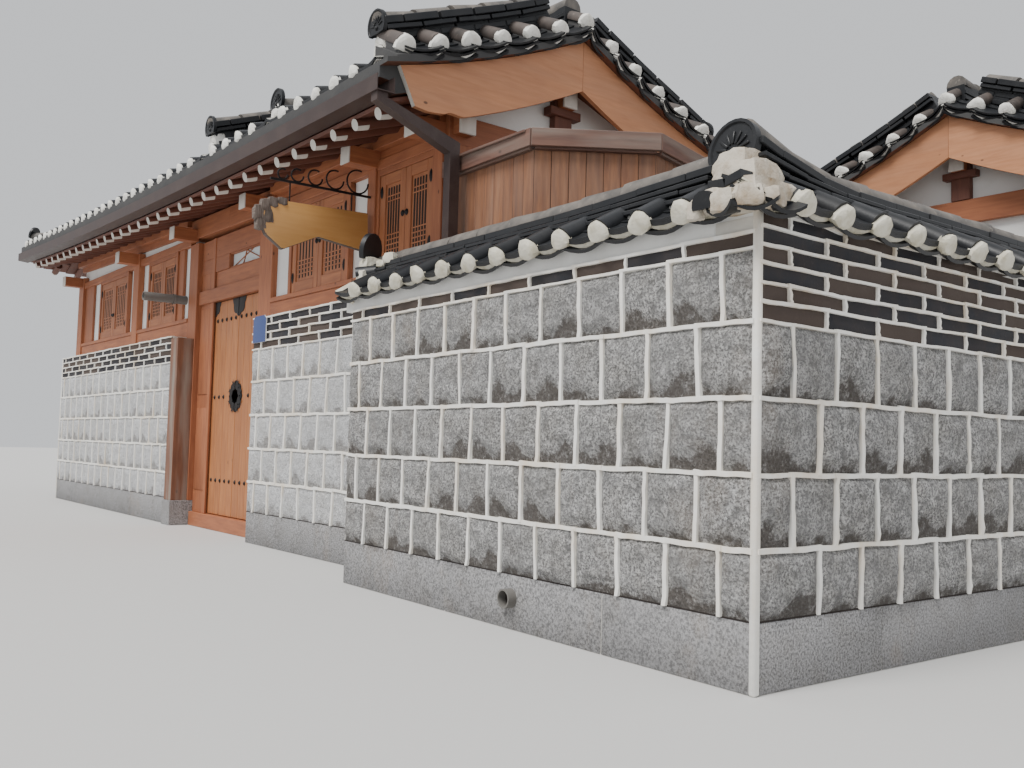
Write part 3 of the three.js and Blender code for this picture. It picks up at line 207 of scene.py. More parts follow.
class Hand:
    """One mesh shaped with primitives and editing tools."""

    def __init__(self, name: str) -> None:
        bpy.ops.object.select_all(action="DESELECT")
        bpy.ops.object.add(type="MESH")
        self.obj = bpy.context.object
        self.obj.name = name
        bpy.ops.object.mode_set(mode="EDIT")

    def cube(self, low: Sequence[float], high: Sequence[float]) -> "Hand":
        """Adds a box between two corners and selects it."""
        middle = [(a + b) / 2 for a, b in zip(low, high)]
        size = [b - a for a, b in zip(low, high)]
        bpy.ops.mesh.primitive_cube_add(size=1, location=middle, scale=size)
        return self

    def block(self) -> "Hand":
        """Adds a box of one metre a side, with everything selected."""
        return self.cube((-0.5, -0.5, -0.5), (0.5, 0.5, 0.5)).everything()

    def tube(self, radius: float, depth: float, sides: int, middle: Sequence[float] = (0, 0, 0),
             turn: Sequence[float] = (0, 0, 0)) -> "Hand":
        """Adds a cylinder, along Z unless it is turned."""
        bpy.ops.mesh.primitive_cylinder_add(
            vertices=sides, radius=radius, depth=depth, location=middle, rotation=turn)
        return self

    def disc(self, radius: float, sides: int, middle: Sequence[float] = (0, 0, 0),
             turn: Sequence[float] = (0, 0, 0)) -> "Hand":
        """Adds a filled circle."""
        bpy.ops.mesh.primitive_circle_add(
            vertices=sides, radius=radius, fill_type="NGON", location=middle, rotation=turn)
        return self

    def grid(self, columns: int, rows: int, turn: Sequence[float] = (0, 0, 0)) -> "Hand":
        """Adds a grid of one metre in the XY plane unless it is turned."""
        bpy.ops.mesh.primitive_grid_add(
            x_subdivisions=columns, y_subdivisions=rows, size=1, rotation=turn)
        return self

    def everything(self) -> "Hand":
        """Selects the whole mesh."""
        bpy.ops.mesh.select_all(action="SELECT")
        return self

    def _pick(self, mode: str, test: Callable[..., bool]) -> "Hand":
        """Selects the faces or the edges that pass a test."""
        bpy.ops.mesh.select_all(action="DESELECT")
        bpy.ops.mesh.select_mode(type=mode)
        work = bmesh.from_edit_mesh(self.obj.data)
        for item in work.faces if mode == "FACE" else work.edges:
            item.select_set(test(item))
        bmesh.update_edit_mesh(self.obj.data)
        return self

    def faces(self, test: Callable[[Vector, Vector], bool]) -> "Hand":
        """Selects the faces whose middle and normal pass a test."""
        return self._pick("FACE", lambda face: test(face.calc_center_median(), face.normal))

    def rim(self) -> "Hand":
        """Selects the open edges."""
        return self._pick("EDGE", lambda edge: edge.is_boundary)

    def extrude(self, by: Sequence[float]) -> "Hand":
        """Pulls the selected faces out."""
        bpy.ops.mesh.extrude_region_move(TRANSFORM_OT_translate={"value": by})
        return self

    def extrude_edges(self, by: Sequence[float]) -> "Hand":
        """Pulls the selected edges out."""
        bpy.ops.mesh.extrude_edges_move(TRANSFORM_OT_translate={"value": by})
        return self

    def fill(self) -> "Hand":
        """Closes the selected ring of edges with one face."""
        bpy.ops.mesh.edge_face_add()
        return self

    def inset(self, width: float, depth: float = 0.0) -> "Hand":
        """Insets the selected faces."""
        bpy.ops.mesh.inset(thickness=width, depth=depth)
        return self

    def bevel(self, width: float, segments: int = 1) -> "Hand":
        """Bevels the selected edges."""
        bpy.ops.mesh.bevel(offset=width, segments=segments, affect="EDGES")
        return self

    def subdivide(self, cuts: int) -> "Hand":
        """Divides the selected faces."""
        bpy.ops.mesh.subdivide(number_cuts=cuts)
        return self

    def scale(self, by: Sequence[float], about: Sequence[float] = (0, 0, 0)) -> "Hand":
        """Scales what is selected about a point."""
        bpy.ops.transform.resize(value=by, center_override=about)
        return self

    def move(self, by: Sequence[float]) -> "Hand":
        """Moves what is selected."""
        bpy.ops.transform.translate(value=by)
        return self

    def cut(self, point: Sequence[float], normal: Sequence[float]) -> "Hand":
        """Adds edges to the whole mesh where a plane meets it."""
        self.everything()
        bpy.ops.mesh.bisect(plane_co=point, plane_no=normal)
        return self

    def shave(self, point: Sequence[float], normal: Sequence[float]) -> "Hand":
        """Cuts the mesh by a plane, drops the side that the normal points to and closes it."""
        self.everything()
        bpy.ops.mesh.bisect(plane_co=point, plane_no=normal, use_fill=True, clear_outer=True)
        return self

    def spin(self, angle: float, steps: int, centre: Sequence[float],
             axis: Sequence[float]) -> "Hand":
        """Turns the selected faces round an axis, leaving their trail."""
        bpy.ops.mesh.spin(steps=steps, angle=angle, center=centre, axis=axis)
        return self

    def outward(self) -> "Hand":
        """Merges doubles and turns every face outwards."""
        self.everything()
        bpy.ops.mesh.remove_doubles(threshold=1e-5)
        bpy.ops.mesh.normals_make_consistent(inside=False)
        return self

    def reshape(self, rule: Callable[[Vector], Vector]) -> "Hand":
        """Moves every vertex by a rule from its place to its new place."""
        work = bmesh.from_edit_mesh(self.obj.data)
        for vertex in work.verts:
            vertex.co = rule(vertex.co.copy())
        bmesh.update_edit_mesh(self.obj.data)
        return self

    def done(self) -> bpy.types.Object:
        """Leaves edit mode and gives the object."""
        bpy.ops.object.mode_set(mode="OBJECT")
        return self.obj


class Pattern:
    """A modelled shape that is copied many times."""

    def __init__(self, hand: Hand, finish_of: Callable[[Vector, Vector], int] | None = None,
                 recess_shade: Callable[[Vector], float] | None = None) -> None:
        obj = hand.done()
        mesh = obj.data
        self.points = np.array([v.co for v in mesh.vertices], float).reshape(-1, 3)
        self.loops = np.array([i for p in mesh.polygons for i in p.vertices], np.int32)
        self.totals = np.array([len(p.vertices) for p in mesh.polygons], np.int32)
        self.normals = np.array([p.normal for p in mesh.polygons], float).reshape(-1, 3)
        pick = finish_of or (lambda middle, normal: 0)
        self.finish = np.array([pick(p.center, p.normal) for p in mesh.polygons], np.int32)
        self.of_loop = np.repeat(np.arange(len(self.totals)), self.totals)
        # Each point's share of painted shade, given by the pattern's own rule.
        self.recess_shade = np.array([recess_shade(v.co) if recess_shade else 0.0 for v in mesh.vertices])
        bpy.data.objects.remove(obj)
        bpy.data.meshes.remove(mesh)

    def stretched(self, size: Sequence[float]) -> np.ndarray:
        """Stretches a one-metre pattern to a size, keeping its worn edges as they are.

        Args:
            size: Length, depth and height.

        Returns:
            The moved points.
        """
        half = np.array(size, float) / 2
        inset = np.minimum(0.5 - np.abs(self.points), 0.45 * half)
        return np.sign(self.points) * (half - inset)

    def chart(self, points: np.ndarray, grain: int) -> np.ndarray:
        """Lays the pattern's faces flat, with U along the grain."""
        rest = [axis for axis in range(3) if axis != grain]
        facing = np.abs(self.normals).argmax(axis=1)[self.of_loop]
        place = points[self.loops]
        across = np.where(facing == rest[0], place[:, rest[1]], place[:, rest[0]])
        along = np.where(facing == grain, place[:, rest[1]], place[:, grain])
        return np.stack([along, across], axis=1)


class Gathering:
    """Copies of patterns, joined into one piece."""

    def __init__(self, name: str, seed: int = 1) -> None:
        self.name = name
        self.luck = random.Random(seed)
        self.count = 0
        self.points: list[np.ndarray] = []
        self.loops: list[np.ndarray] = []
        self.totals: list[np.ndarray] = []
        self.charts: list[np.ndarray] = []
        self.shades: list[np.ndarray] = []
        self.recess_shade: list[np.ndarray] = []
        self.finishes: list[np.ndarray] = []

    def add(self, pattern: Pattern, place: Matrix, size: Sequence[float] | None = None,
            finish: int = 0, shade: float | None = None, grain: int | None = None) -> None:
        """Adds one copy.

        Args:
            pattern: What is copied.
            place: Where it goes, in the part's frame.
            size: The size that a one-metre pattern is stretched to.
            finish: Which of the piece's finishes it takes, added to the pattern's own.
            shade: Its own shade between 0 and 1, random if not given.
            grain: The axis of its grain, by default the longest.
        """
        points = pattern.points if size is None else pattern.stretched(size)
        axis = grain if grain is not None else int(np.argmax(size)) if size is not None else 0
        shift = (self.luck.uniform(0, 40), self.luck.uniform(0, 40))
        turn = np.array(place, float)
        tone = self.luck.random() if shade is None else shade
        self.charts.append(pattern.chart(points, axis) + shift)
        self.points.append(points @ turn[:3, :3].T + turn[:3, 3])
        self.loops.append(pattern.loops + self.count)
        self.totals.append(pattern.totals)
        self.shades.append(np.full(len(pattern.totals), tone))
        self.finishes.append(pattern.finish + finish)
        self.recess_shade.append(pattern.recess_shade)
        self.count += len(points)

    def piece(self, finishes: Sequence[bpy.types.Material], slot: str,
              body: str = HOUSE_BODY, replaces: Sequence[str] = (),
              smooth: float | None = 35.0) -> bpy.types.Object:
        """Joins the copies into one piece, hangs it on its body's empty and hides the nodes that it
        replaces.

        Args:
            finishes: The materials that the copies' finish numbers mean.
            slot: The record's material slot; not used.
            body: The body that the piece rides on.
            replaces: The frame's nodes that it stands for.
            smooth: The angle in degrees below which edges are smooth, or None for flat faces.

        Returns:
            The new piece.
        """
        mesh = bpy.data.meshes.new(self.name)
        points = np.concatenate(self.points).astype(np.float32)
        loops = np.concatenate(self.loops).astype(np.int32)
        totals = np.concatenate(self.totals).astype(np.int32)
        mesh.vertices.add(len(points))
        mesh.vertices.foreach_set("co", points.ravel())
        mesh.loops.add(len(loops))
        mesh.loops.foreach_set("vertex_index", loops)
        mesh.polygons.add(len(totals))
        starts = np.concatenate([[0], np.cumsum(totals)[:-1]]).astype(np.int32)
        mesh.polygons.foreach_set("loop_start", starts)
        mesh.polygons.foreach_set("material_index", np.concatenate(self.finishes).astype(np.int32))
        shade = mesh.attributes.new("shade", "FLOAT", "FACE")
        shade.data.foreach_set("value", np.concatenate(self.shades).astype(np.float32))
        # Each point's painted shade, for the shade in the stones' recesses and along their rims.
        recess_shade = mesh.attributes.new("recess_shade", "FLOAT", "POINT")
        recess_shade.data.foreach_set("value", np.concatenate(self.recess_shade).astype(np.float32))
        chart = mesh.uv_layers.new(name="grain")
        chart.data.foreach_set("uv", np.concatenate(self.charts).astype(np.float32).ravel())
        mesh.update(calc_edges=True)
        mesh.validate()
        obj = bpy.data.objects.new(self.name, mesh)
        bpy.context.scene.collection.objects.link(obj)
        for material in finishes:
            mesh.materials.append(material)
        if smooth is not None:
            bpy.ops.object.select_all(action="DESELECT")
            obj.select_set(True)
            bpy.context.view_layer.objects.active = obj
            bpy.ops.object.shade_smooth_by_angle(angle=math.radians(smooth))
        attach(obj, body)
        if replaces:
            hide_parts(*replaces)
        LOG.info("%s: %d faces", self.name, len(totals))
        return obj


# Shading


class Sock:
    """A socket of a shader graph that Python's operators work on."""

    def __init__(self, graph: "Graph", link: bpy.types.NodeSocket) -> None:
        self.graph = graph
        self.link = link

    def __add__(self, other: "Sock | float") -> "Sock":
        """Adds."""
        return self.graph.maths("ADD", self, other)

    __radd__ = __add__

    def __sub__(self, other: "Sock | float") -> "Sock":
        """Subtracts."""
        return self.graph.maths("SUBTRACT", self, other)

    def __rsub__(self, other: "Sock | float") -> "Sock":
        """Subtracts from a value."""
        return self.graph.maths("SUBTRACT", other, self)

    def __mul__(self, other: "Sock | float") -> "Sock":
        """Multiplies."""
        return self.graph.maths("MULTIPLY", self, other)

    __rmul__ = __mul__

    def __gt__(self, other: "Sock | float") -> "Sock":
        """Gives 1 where it is greater."""
        return self.graph.maths("GREATER_THAN", self, other)

    def __lt__(self, other: "Sock | float") -> "Sock":
        """Gives 1 where it is less."""
        return self.graph.maths("LESS_THAN", self, other)

    def over(self, low: float, high: float) -> "Sock":
        """Spreads the range from low to high over 0 to 1, and holds it there."""
        return self.graph.node("ShaderNodeMapRange", {"clamp": True}, {
            "Value": self, "From Min": low, "From Max": high})


class Graph:
    """The node graph of one material."""

    def __init__(self, name: str) -> None:
        self.material = bpy.data.materials.new(name)
        self.material.use_nodes = True
        self.tree = self.material.node_tree
        self.tree.nodes.clear()

    def node(self, kind: str, settings: dict | None = None, inputs: dict | None = None,
             output: int | str = 0) -> Sock:
        """Adds a node.

        Args:
            kind: The node's type.
            settings: Its settings; stops are a ramp's places and colours.
            inputs: Values or links of its sockets, by name or number.
            output: Which of its outputs is wanted.

        Returns:
            The output.
        """
        made = self.tree.nodes.new(kind)
        for key, value in (settings or {}).items():
            if key == "stops":
                self._set_stops(made.color_ramp, value)
            else:
                setattr(made, key, value)
        for key, value in (inputs or {}).items():
            if isinstance(value, Sock):
                self.tree.links.new(value.link, made.inputs[key])
            else:
                made.inputs[key].default_value = value
        return Sock(self, made.outputs[output])

    @staticmethod
    def _set_stops(ramp: bpy.types.ColorRamp, stops: Sequence[tuple[float, Colour]]) -> None:
        """Gives a colour ramp its stops."""
        while len(ramp.elements) < len(stops):
            ramp.elements.new(1.0)
        for element, (place, colour) in zip(ramp.elements, stops):
            element.position = place
            element.color = (*colour, 1.0)

    def maths(self, operation: str, first: Sock | float, second: Sock | float) -> Sock:
        """Adds a Math node."""
        return self.node("ShaderNodeMath", {"operation": operation}, {0: first, 1: second})

    def place(self) -> Sock:
        """Gives the place on the object, in metres."""
        return self.node("ShaderNodeTexCoord", output="Object")

    def chart(self) -> Sock:
        """Gives the place on the laid-out grain chart."""
        return self.node("ShaderNodeUVMap", {"uv_map": "grain"})

    def shade(self, name: str = "shade") -> Sock:
        """Gives each copy's own shade, or another of the piece's attributes."""
        return self.node("ShaderNodeAttribute", {"attribute_name": name}, output="Fac")

    def stretched(self, vector: Sock, by: Sequence[float]) -> Sock:
        """Scales a vector by three factors."""
        return self.node("ShaderNodeVectorMath", {"operation": "MULTIPLY"}, {0: vector, 1: by})

    def part(self, vector: Sock, axis: str) -> Sock:
        """Gives one number of a vector."""
        return self.node("ShaderNodeSeparateXYZ", None, {0: vector}, axis)

    def clouds(self, vector: Sock, scale: float, detail: float = 3.0, rough: float = 0.55,
               twist: float = 0.0) -> Sock:
        """Gives soft noise between 0 and 1."""
        return self.node("ShaderNodeTexNoise", None, {
            "Vector": vector, "Scale": scale, "Detail": detail, "Roughness": rough,
            "Distortion": twist}, "Fac")

    def cells(self, vector: Sock, scale: float, output: str = "Distance") -> Sock:
        """Gives a cell pattern."""
        return self.node("ShaderNodeTexVoronoi", None, {"Vector": vector, "Scale": scale}, output)

    def blend(self, factor: Sock | float, first: Sock | Colour, second: Sock | Colour,
              mode: str = "MIX") -> Sock:
        """Mixes two colours."""
        pair = [value if isinstance(value, Sock) else (*value, 1.0) for value in (first, second)]
        return self.node("ShaderNodeMix", {"data_type": "RGBA", "blend_type": mode},
                         {0: factor, 6: pair[0], 7: pair[1]}, 2)

    def ramp(self, factor: Sock, stops: Sequence[tuple[float, Colour]]) -> Sock:
        """Turns a number into a colour."""
        return self.node("ShaderNodeValToRGB", {"stops": stops}, {0: factor})

    def relief(self, height: Sock, depth: float, strength: float = 1.0,
               under: Sock | None = None) -> Sock:
        """Adds a bump of a depth in metres."""
        inputs: dict = {"Height": height, "Distance": depth, "Strength": strength}
        if under is not None:
            inputs["Normal"] = under
        return self.node("ShaderNodeBump", None, inputs)

    def surface(self, colour: Sock | Colour, rough: Sock | float, normal: Sock | None = None,
                metal: float = 0.0, **fixed: float) -> bpy.types.Material:
        """Closes the graph with its surface.

        Args:
            colour: Base colour.
            rough: Roughness.
            normal: Bumped normal.
            metal: Metallic share.
            fixed: Other constant inputs, with _ for a space in their names.

        Returns:
            The finished material.
        """
        base = colour if isinstance(colour, Sock) else (*colour, 1.0)
        inputs: dict = {"Base Color": base, "Roughness": rough, "Metallic": metal}
        if normal is not None:
            inputs["Normal"] = normal
        for key, value in fixed.items():
            inputs[key.replace("_", " ")] = value
        shader = self.node("ShaderNodeBsdfPrincipled", None, inputs)
        self.node_output(shader)
        return self.material

    def node_output(self, shader: Sock) -> None:
        """Links the surface to the material's output."""
        out = self.tree.nodes.new("ShaderNodeOutputMaterial")
        self.tree.links.new(shader.link, out.inputs["Surface"])


@dataclass(frozen=True)
class Granite:
    """Grey granite: dark and pale grains, rust that ran down, a split or sawn face, and painted shade below
    each stone's shelf, along its rim and in the bump's hollows.
    """

    name: str
    tone: Colour
    relief: float
    rust: float
    contrast: float = 1.0
    # Strength of the painted shade below each stone's shelf and along its rim.
    recess_shade: float = 0.5

    def material(self) -> bpy.types.Material:
        """Builds the material."""
        g = Graph(self.name)
        place = g.place()
        tone, own = self.tone, g.shade()
        grains = g.clouds(place, 88.0, 3.0, 0.75)
        flecks = g.cells(place, 150.0)
        cast = g.clouds(place, 5.0, 3.0)
        dark = tuple(0.42 * c for c in tone)
        pale = tuple(min(1.0, 1.42 * c) for c in tone)
        span = 0.13 / self.contrast
        base = g.ramp(grains, [(0.5 - span, dark), (0.5, tone), (0.5 + span, pale)])
        base = g.blend((flecks < 0.22) * 0.55, base, dark)
        coarse = g.clouds(place, 21.0, 6.0, 0.68)
        # Painted shade: darker in the hollows of the coarse bump, the more so the deeper its relief.
        base = g.blend((1 - coarse.over(0.36, 0.56)) * min(0.85, self.relief * 14.0), base, dark)
        base = g.blend(own * 0.34, base, tuple(0.62 * c for c in tone))
        base = g.blend(cast.over(0.45, 0.75) * 0.4, base, (0.66, 0.62, 0.55), "MULTIPLY")
        run = g.clouds(g.stretched(place, (1.0, 1.0, 0.22)), 2.6, 4.0, 0.6)
        low = g.clouds(place, 9.0, 4.0)
        stain = (run * 0.75 + low * 0.25).over(0.55, 0.70) * self.rust
        base = g.blend(stain, base, (0.36, 0.24, 0.13))
        # Painted shade: dark brown below each stone's shelf and along its rim, made ragged by noise.
        ragged = g.shade("recess_shade") + 2.4 * (g.clouds(place, 26.0, 6.0, 0.72) - 0.5)
        base = g.blend(ragged.over(0.40, 0.95) * self.recess_shade, base, (0.085, 0.070, 0.058))
        rough = 0.78 + 0.15 * grains
        normal = g.relief(coarse, self.relief, 1.0)
        normal = g.relief(grains, self.relief * 0.16, 0.8, normal)
        return g.surface(base, rough, normal, Specular_IOR_Level=0.3)


@dataclass(frozen=True)
class Lime:
    """Lime mortar or plaster: cream, trowelled, with grey dirt below and in streaks."""

    name: str
    tone: Colour
    dirt: float
    relief: float
    grime: Colour = (0.50, 0.46, 0.40)
    patch: float = 3.0

    def material(self) -> bpy.types.Material:
        """Builds the material."""
        g = Graph(self.name)
        place = g.place()
        patches = g.clouds(place, self.patch, 5.0, 0.6)
        fine = g.clouds(place, 60.0, 3.0)
        streaks = g.clouds(g.stretched(place, (14.0, 14.0, 1.2)), 1.0, 3.0)
        dirty = (patches * 0.65 + streaks * 0.35).over(0.46, 0.68) * self.dirt
        grime = tuple(c * d for c, d in zip(self.tone, self.grime))
        base = g.blend(dirty, self.tone, grime)
        base = g.blend(fine.over(0.3, 0.7) * 0.16, base, tuple(c * 0.75 for c in self.tone))
        normal = g.relief(g.clouds(place, 28.0, 4.0, 0.6) * 0.6 + fine * 0.4, self.relief, 0.8)
        return g.surface(base, 0.82 + 0.1 * fine, normal, Specular_IOR_Level=0.2)


@dataclass(frozen=True)
class Clay:
    """Fired dark clay, of tiles and bricks: smoky patches, dust and a dull shine."""

    name: str
    tone: Colour
    dust: Colour
    dusty: float
    gloss: float
    relief: float = 0.002
    brown: float = 0.0

    def material(self) -> bpy.types.Material:
        """Builds the material."""
        g = Graph(self.name)
        place, own = g.place(), g.shade()
        smoke = g.clouds(place, 7.0, 4.0, 0.6)
        fine = g.clouds(place, 90.0, 3.0, 0.6)
        base = g.blend(own * 0.75, self.tone, tuple(1.8 * c for c in self.tone))
        base = g.blend((own > 0.68) * self.brown, base, (0.085, 0.060, 0.046))
        base = g.blend(smoke.over(0.35, 0.75) * self.dusty, base, self.dust)
        lichen = g.clouds(place, 22.0, 5.0, 0.7).over(0.60, 0.70)
        base = g.blend(lichen * self.dusty * 0.6, base, tuple(1.5 * c for c in self.dust))
        rough = (1 - self.gloss) + 0.25 * (smoke - 0.5) + 0.12 * fine
        normal = g.relief(fine * 0.5 + smoke * 0.5, self.relief, 0.6)
        return g.surface(base, rough, normal, Specular_IOR_Level=0.32)


@dataclass(frozen=True)
class Wood:
    """Oiled pine: streaks along the grain, rings, knots, and grey where it has weathered."""

    name: str
    pale: Colour
    deep: Colour
    knots: float
    gloss: float
    weather: float = 0.0

    def material(self) -> bpy.types.Material:
        """Builds the material."""
        g = Graph(self.name)
        where = g.chart()
        along = g.stretched(where, (1.0, 9.0, 1.0))
        streaks = g.clouds(along, 3.2, 4.0, 0.55, 0.3)
        fibres = g.clouds(g.stretched(along, (1.0, 4.0, 4.0)), 9.0, 3.0, 0.6)
        patches = g.clouds(where, 2.4, 3.0)
        figure = streaks * 0.62 + patches * 0.20 + fibres * 0.18
        base = g.ramp(figure, [(0.30, self.deep), (0.50, self._middle()), (0.70, self.pale)])
        base = g.blend(g.shade() * 0.35, base, tuple(0.72 * c for c in self.deep))
        spots = g.cells(g.stretched(where, (1.0, 1.7, 1.0)), 3.3)
        knot = (1 - spots.over(0.040, 0.070)) * self.knots
        base = g.blend(knot, base, tuple(0.30 * c for c in self.deep))
        grey = g.clouds(g.stretched(where, (0.5, 4.5, 0.5)), 1.7, 4.0)
        base = g.blend(grey.over(0.42, 0.72) * self.weather, base, (0.27, 0.235, 0.20))
        rough = (1 - self.gloss) + 0.2 * (figure - 0.5)
        normal = g.relief(figure, 0.0022, 0.55)
        return g.surface(base, rough, normal)

    def _middle(self) -> Colour:
        """Gives the colour between pale and deep."""
        return tuple((a + b) / 2 for a, b in zip(self.pale, self.deep))


@dataclass(frozen=True)
class Coated:
    """Paint, enamel, moulded plastic or wrought iron, and the near-black of painted shadow in openings:
    even, with dust and small wear.
    """

    name: str
    tone: Colour
    worn: Colour
    wear: float
    gloss: float
    metal: float = 0.0

    def material(self) -> bpy.types.Material:
        """Builds the material."""
        g = Graph(self.name)
        place = g.place()
        dust = g.clouds(place, 6.0, 4.0, 0.6)
        fine = g.clouds(place, 120.0, 2.0)
        base = g.blend((dust * 0.7 + fine * 0.3).over(0.42, 0.74) * self.wear, self.tone, self.worn)
        rough = (1 - self.gloss) + 0.2 * (dust - 0.4)
        return g.surface(base, rough, g.relief(fine, 0.0006, 0.5), self.metal)


def wall_backing() -> bpy.types.Material:
    """Makes the mortar behind the stones, which turns to plaster above the base."""
    g = Graph("mortar_and_plaster")
    place = g.place()
    patches = g.clouds(place, 3.5, 5.0, 0.6)
    fine = g.clouds(place, 70.0, 3.0)
    upper = g.part(place, "Z") > BASE_TOP
    base = g.blend(upper, (0.66, 0.64, 0.59), (0.80, 0.80, 0.78))
    dirty = patches.over(0.5, 0.8) * 0.5 * (1 - upper * 0.6)
    base = g.blend(dirty, base, (0.36, 0.33, 0.28))
    normal = g.relief(patches * 0.4 + fine * 0.6, 0.003, 0.7)
    return g.surface(base, 0.84 + 0.1 * fine, normal, Specular_IOR_Level=0.2)


def roof_body() -> bpy.types.Material:
    """Makes the roof slab: clay above, stained boards on the side that faces down."""
    g = Graph("roof_bed_and_soffit")
    place = g.place()
    down = g.part(g.node("ShaderNodeNewGeometry", output="Normal"), "Z") < -0.25
    smoke = g.clouds(place, 6.0, 4.0)
    clay = g.blend(smoke, (0.030, 0.031, 0.034), (0.075, 0.073, 0.070))
    boards = g.blend(smoke, (0.115, 0.045, 0.026), (0.17, 0.07, 0.04))
    normal = g.relief(g.clouds(place, 50.0, 3.0), 0.003, 0.6)
    return g.surface(g.blend(down, clay, boards), 0.72 + 0.15 * smoke, normal)


class Palette:
    """Every finish of the house, built once."""

    def __init__(self) -> None:
        self.stone = Granite("split_granite", (0.560, 0.553, 0.548), 0.080, 0.22, 1.70, 0.80).material()
        self.street_stone = Granite(
            "street_granite", (0.620, 0.625, 0.635), 0.030, 0.05, 0.9, 0.55).material()
        self.slab = Granite("sawn_granite", (0.285, 0.282, 0.285), 0.003, 0.20, 1.2).material()
        self.mortar = Lime(
            "raised_mortar", (0.86, 0.85, 0.81), 0.70, 0.004, (0.84, 0.68, 0.48), 2.2).material()
        self.plug = Lime(
            "tile_end_lime", (0.68, 0.65, 0.55), 0.90, 0.012, (0.62, 0.58, 0.46), 13.0).material()
        self.lime = Lime("verge_lime", (0.86, 0.85, 0.80), 0.60, 0.014, (0.70, 0.67, 0.60), 13.0).material()
        self.daub = Lime(
            "weathered_daub", (0.56, 0.51, 0.43), 0.95, 0.014, (0.50, 0.38, 0.26), 9.0).material()
        self.plaster = Lime("wall_plaster", (0.80, 0.80, 0.78), 0.18, 0.002).material()
        self.backing = wall_backing()
        self.brick = Clay(
            "dark_brick", (0.020, 0.021, 0.026), (0.072, 0.055, 0.047), 0.45, 0.25, 0.004, 0.75).material()
        self.tile = Clay("roof_tile", (0.009, 0.010, 0.012), (0.045, 0.044, 0.044), 0.34, 0.66).material()
        self.dusty_tile = Clay(
            "dusty_tile", (0.050, 0.043, 0.040), (0.150, 0.120, 0.105), 0.70, 0.42).material()
        self.cap = Clay("cap_tile", (0.070, 0.066, 0.062), (0.260, 0.230, 0.200), 0.80, 0.40).material()
        self.roof = roof_body()
        self.timber = Wood(
            "front_timber", (0.480, 0.180, 0.078), (0.250, 0.080, 0.036), 0.8, 0.40).material()
        self.weathered = Wood(
            "weathered_board", (0.300, 0.130, 0.070), (0.120, 0.055, 0.035), 0.8, 0.35, 0.9).material()
        self.leaf = Wood("shutter_wood", (0.500, 0.200, 0.086), (0.270, 0.092, 0.040), 0.45, 0.42).material()
        self.dark_timber = Wood(
            "eave_timber", (0.185, 0.066, 0.040), (0.085, 0.030, 0.020), 0.3, 0.36).material()
        self.gate = Wood("gate_planks", (0.560, 0.225, 0.076), (0.290, 0.096, 0.030), 0.8, 0.5).material()
        self.board = Wood(
            "gable_board", (0.610, 0.290, 0.145), (0.440, 0.180, 0.080), 1.0, 0.45, 0.10).material()
        self.plank = Wood(
            "bay_plank", (0.380, 0.170, 0.078), (0.130, 0.050, 0.028), 0.5, 0.35, 0.25).material()
        self.rail = Wood(
            "bay_rail", (0.230, 0.115, 0.080), (0.085, 0.040, 0.030), 0.7, 0.38, 0.60).material()
        self.honey = Wood("sign_slab", (0.660, 0.370, 0.135), (0.540, 0.270, 0.085), 0.5, 0.6).material()
        self.bark = Wood(
            "sign_bark", (0.180, 0.135, 0.112), (0.045, 0.030, 0.025), 0.0, 0.15, 0.5).material()
        self.end = Lime("painted_timber_end", (0.66, 0.63, 0.58), 0.30, 0.001).material()
        # Near-black painted shadow, put into openings, slots and gaps that would lie in shade.
        self.painted_shadow = Coated(
            "shadowed_opening", (0.016, 0.010, 0.008), (0.03, 0.02, 0.015), 0.4, 0.2).material()
        self.iron = Coated(
            "wrought_iron", (0.016, 0.015, 0.016), (0.085, 0.070, 0.060), 0.35, 0.55, 0.7).material()
        self.gutter = Coated(
            "gutter_sheet", (0.045, 0.027, 0.024), (0.140, 0.105, 0.092), 0.35, 0.5, 0.2).material()
        self.enamel = Coated("blue_enamel", (0.022, 0.050, 0.190), (0.05, 0.08, 0.22), 0.2, 0.7).material()
        self.white = Coated("white_coating", (0.72, 0.73, 0.74), (0.52, 0.52, 0.50), 0.25, 0.55).material()
        self.glass = Coated("dark_glass", (0.012, 0.014, 0.018), (0.03, 0.03, 0.035), 0.2, 0.9).material()
        self.pipe = Coated("grey_pipe", (0.17, 0.165, 0.155), (0.09, 0.075, 0.06), 0.6, 0.4).material()
        self.paper = Coated("window_paper", (0.62, 0.66, 0.68), (0.42, 0.44, 0.42), 0.5, 0.4).material()


def coat(node: str, material: bpy.types.Material) -> None:
    """Gives one of the frame's own nodes its finish."""
    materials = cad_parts[node].data.materials
    materials.clear()
    materials.append(material)


# Patterns


